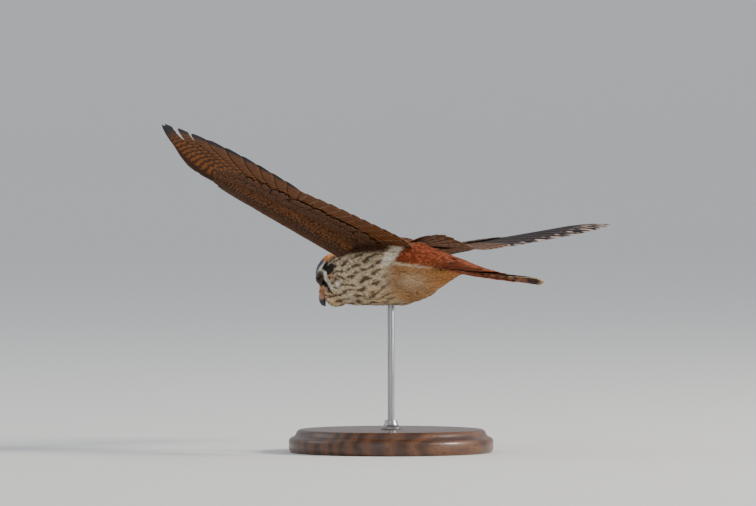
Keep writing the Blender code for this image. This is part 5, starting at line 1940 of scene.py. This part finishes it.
def eye_map(ball, points):
    """Maps the front of a ball by distance from its axis, in radii, and the back far outside the iris."""
    flat = np.where(points[:, 2:] > 0, points[:, :2] / EYE_RADIUS, 2.0)
    loops = np.zeros(len(ball.data.loops), np.int32)
    ball.data.loops.foreach_get("vertex_index", loops)
    layer = ball.data.uv_layers.new(name="vane")
    layer.data.foreach_set("uv", flat[loops].ravel().astype(np.float32))


def welded(mesh):
    """Closes a ring whose last section lies on its first."""
    body = bmesh.new()
    body.from_mesh(mesh)
    bmesh.ops.remove_doubles(body, verts=body.verts, dist=WELD)
    bmesh.ops.recalc_face_normals(body, faces=body.faces)
    body.to_mesh(mesh)
    body.free()


def make_eye(side, word, wet, lid_material):
    local = eye_rings()
    to_world = np.array(eye_frame(side))
    ball = lofted(f"eyeball_{word}", placed(local, to_world))
    eye_map(ball, local.reshape(-1, 3))
    finish_piece(ball, wet, "eye", f"eye_{word}")
    lid = lofted(f"eyelid_{word}", placed(lid_rings(), to_world), caps=False)
    welded(lid.data)
    finish_piece(lid, lid_material, "bare_skin")


wet_material = eye_finish()
lid_material = bare_finish("lid_skin", linear(86, 68, 40), linear(46, 36, 26), 2600.0)
for eye_side, eye_word in SIDES:
    make_eye(eye_side, eye_word, wet_material, lid_material)

# %% [markdown]
# In flight the legs are folded and the feet are clenched in the belly feathers. The shank is a slim tube with
# broad scales down its front, and each toe curls half round, knuckle by knuckle, to a curved black claw. The
# scales are ridges in the mesh. The lines are those of the solids, with many more sections.
# %% Feet and claws
SHANK_RADIUS = 2.1 * MM
SHANK_FROM = np.array([10.0, 1, -17.5]) * MM
SHANK_TO = np.array([8.5, 22, -11.5]) * MM
TOE_RADIUS = 1.35 * MM
TOE_REACH = 6.5 * MM
HIND_REACH = 4.6 * MM
TOE_DEPTH = 3.2 * MM
CLAW_LENGTH = 6.0 * MM
CLAW_RADIUS = 1.08 * MM
CLAW_POINT = 0.04 * MM
CLAW_IN_TOE = 0.9 * MM
TOE_SECTIONS = 56
CLAW_SECTIONS = 24
# Each toe's splay, and whether it points back
TOES = ((-0.7, False), (0.0, False), (0.7, False), (-0.35, True))
shank_girth = smooth_curve([(0, 1.1), (0.25, 1.0), (0.5, 0.9), (0.8, 1.0), (1.0, 1.3), (1.12, 0.8)])


def tube_rings(line, radii, count=16, scales=0, depth=0.0):
    """Sections square to a line of points, with ridges on the upper half for scales."""
    ahead = unit(np.gradient(line, axis=0))
    side = unit(np.cross(ahead, np.array([0.1, 0.2, 1.0])))
    up = np.cross(side, ahead)
    turn = full_circle(count)
    saw = (np.linspace(0, 1, len(line))[:, None] * scales) % 1.0
    reach = radii[:, None] * (1 + depth * (saw - 0.5) * np.clip(np.sin(turn) + 0.4, 0, 1)[None])
    aside = side[:, None] * (reach * np.cos(turn))[..., None]
    return line[:, None] + aside + up[:, None] * (reach * np.sin(turn))[..., None]


def toe_line(splay, back, steps=44):
    """A toe's line, down from the shank's end and half round, at even steps."""
    along = unit(np.array([splay, -1.0 if back else 1.0, 0]))
    reach = HIND_REACH if back else TOE_REACH
    down = np.array([0, 0, -TOE_DEPTH])
    middle = SHANK_TO + along * reach * 0.55 + down
    bend = np.radians(np.linspace(70, -60, steps))[:, None]
    arc = middle + along * reach * np.cos(bend) - down * np.sin(bend)
    line = np.concatenate([SHANK_TO[None] + (arc[:1] - SHANK_TO) * np.linspace(0, 0.9, 8)[:, None], arc])
    at = np.concatenate([[0], np.cumsum(np.linalg.norm(np.diff(line, axis=0), axis=1))])
    where = np.linspace(0, at[-1], TOE_SECTIONS)
    return np.stack([np.interp(where, at, line[:, k]) for k in range(3)], axis=1)


def toe_rings(line, back):
    """A toe's sections, with a swelling at each knuckle."""
    run = np.linspace(0, 1, TOE_SECTIONS)
    knuckle = 1 + 0.13 * np.cos(run * 2 * math.pi * (2 if back else 3)) ** 2
    thick = TOE_RADIUS * (1.2 - 0.35 * run) * knuckle * np.minimum(1, (1.02 - run) * 9) ** 0.4
    return tube_rings(line, thick, 16, 9 if back else 13, 0.16)


def claw_rings(line, back):
    """A claw's sections, on from a toe's end and bending inward to a point."""
    onward = unit(line[-1] - line[-3])
    inward = unit(np.array([0, 1.0 if back else -1.0, 0.3]))
    run = np.linspace(0, 1, CLAW_SECTIONS)
    turns = unit(onward * (1 - run[:, None]) + inward * run[:, None])
    length = CLAW_LENGTH * (0.7 if back else 1.0)
    claw = line[-1] - onward * CLAW_IN_TOE + np.cumsum(turns, axis=0) * length * 1.12 / CLAW_SECTIONS
    return tube_rings(claw, CLAW_RADIUS * (1 - run**1.5) ** 0.8 + CLAW_POINT, 14)


def shank_rings():
    run = np.linspace(0.0, 1.12, 60)
    shank = SHANK_FROM + (SHANK_TO - SHANK_FROM) * run[:, None]
    return tube_rings(shank, SHANK_RADIUS * shank_girth(run), 20, 11, 0.12)


def make_foot(side, word, skin_material, claw_material):
    """A shank with four toes as one piece, and the four claws as pieces of their own."""
    mirror = np.array([side, 1, 1])
    toes = [(toe_line(*toe), toe[1]) for toe in TOES]
    body = bmesh.new()
    for rings in [shank_rings()] + [toe_rings(*toe) for toe in toes]:
        part = lofted("part", placed(rings * mirror, BIRD))
        body.from_mesh(part.data)
        bpy.data.objects.remove(part)
    mesh = bpy.data.meshes.new(f"foot_scaled_{word}")
    body.to_mesh(mesh)
    body.free()
    finish_piece(bpy.data.objects.new(mesh.name, mesh), skin_material, "bare_skin", f"foot_{word}")
    for number, toe in enumerate(toes, 1):
        claw = lofted(f"talon_{word}_{number}", placed(claw_rings(*toe) * mirror, BIRD))
        finish_piece(claw, claw_material, "horn", f"claw_{word}_{number}")


foot_material = bare_finish("foot_skin", linear(226, 172, 60), linear(196, 138, 44), 1500.0)
claw_material = uneven_finish("claw_horn", (20, 18, 20), (52, 46, 44), 600.0, (0.25, 0.2), Coat_Weight=0.2)[0]
for foot_side, foot_word in SIDES:
    make_foot(foot_side, foot_word, foot_material, claw_material)

# %% [markdown]
# The stand is what a museum would use: a turned walnut base, a small steel collar and one steel rod up into
# the belly. The base is a profile spun round by a Screw modifier, with an ogee edge. Its grain is a set of
# wavy bands running across the base, as on a board cut along the trunk.
# %% Stand
# Edges as radius and height in mm
BASE_EDGE = (
    (0, 18), (70.4, 18), (71.4, 17.9), (72.2, 17.5), (73.4, 16.7), (74.1, 15.2), (74.9, 13.6), (76.2, 12.5),
    (78.2, 11.6), (79.4, 10.6), (80, 9.0), (80, 3.6), (79.6, 1.6), (78.8, 0.4), (78.2, 0), (0, 0),
)
COLLAR_EDGE = (
    (2.7, 25.3), (4.2, 25.3), (4.7, 25.0), (4.9, 24.4), (5.1, 22.6), (5.9, 21.2), (7.4, 20.4), (8.0, 19.6),
    (8.0, 18.4), (2.7, 18.4), (2.7, 25.3),
)


def turned_piece(name, edge, slot_name, material, node_name, steps):
    made = settled(turned(name, [(r * MM, z * MM) for r, z in edge], steps, WELD))
    made.name = name
    made.shade_smooth()
    made.set_sharp_from_angle(angle=math.radians(32))
    finish_piece(bpy.data.objects.new(name, made), material, slot_name, node_name)


def wood_finish():
    """Varnished walnut: wavy grain, broader patches, and fine dark pores."""
    made, tree, shader = new_finish("walnut", 0.4, Coat_Weight=0.35, Coat_Roughness=0.18)
    stretched = new_node(tree, "Mapping", Scale=(0.28, 1.0, 1.0), Vector=own_space(tree)).outputs[0]
    bands = new_node(
        tree, "TexWave", Scale=26.0, Distortion=7.0, Detail=3.0, Detail_Scale=1.4, Vector=stretched
    )
    bands.wave_type = "BANDS"
    bands.bands_direction = "Y"
    grain = bands.outputs["Fac"]
    pores = noise(tree, 900.0, 2.0, stretch=(0.05, 1.0, 1.0))
    broad = noise(tree, 18.0, 3.0, stretch=(0.3, 1.0, 1.0))
    pits = ramp(tree, pores, 0.52, 0.66)
    colour = mixed(tree, grain, rgba(linear(62, 38, 24)), rgba(linear(112, 72, 44)))
    colour = mixed(tree, sums(tree, "MULTIPLY", broad, 0.5), colour, rgba(linear(84, 50, 32)))
    colour = mixed(tree, sums(tree, "MULTIPLY", pits, 0.6), colour, rgba(linear(36, 22, 15)))
    fed(tree, shader, Base_Color=colour, Roughness=sums(tree, "MULTIPLY_ADD", grain, 0.12, 0.34))
    bump(tree, shader, pores, 0.12, 0.08 * MM)
    return made


def steel_finish():
    greys = (150, 150, 152), (196, 196, 198)
    lengthwise = {"detail": 2.0, "stretch": (1.0, 1.0, 0.04)}
    made, tree, shader, brushed, _ = uneven_finish(
        "brushed_steel", *greys, 1500.0, (0.25, 0.2), **lengthwise, Metallic=1.0
    )
    bump(tree, shader, brushed, 0.1, 0.02 * MM)
    return made


steel = steel_finish()
rod_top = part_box("stand_rod")[1][2] / MM
rod_edge = ((0, rod_top), (2.1, rod_top), (2.45, rod_top - 0.2), (2.6, rod_top - 0.6), (2.6, 18.4), (0, 18.4))
turned_piece("stand_walnut_base", BASE_EDGE, "stand_wood", wood_finish(), "stand_base", 96)
turned_piece("stand_steel_collar", COLLAR_EDGE, "stand_metal", steel, "stand_collar", 48)
turned_piece("stand_steel_rod", rod_edge, "stand_metal", steel, "stand_rod", 32)
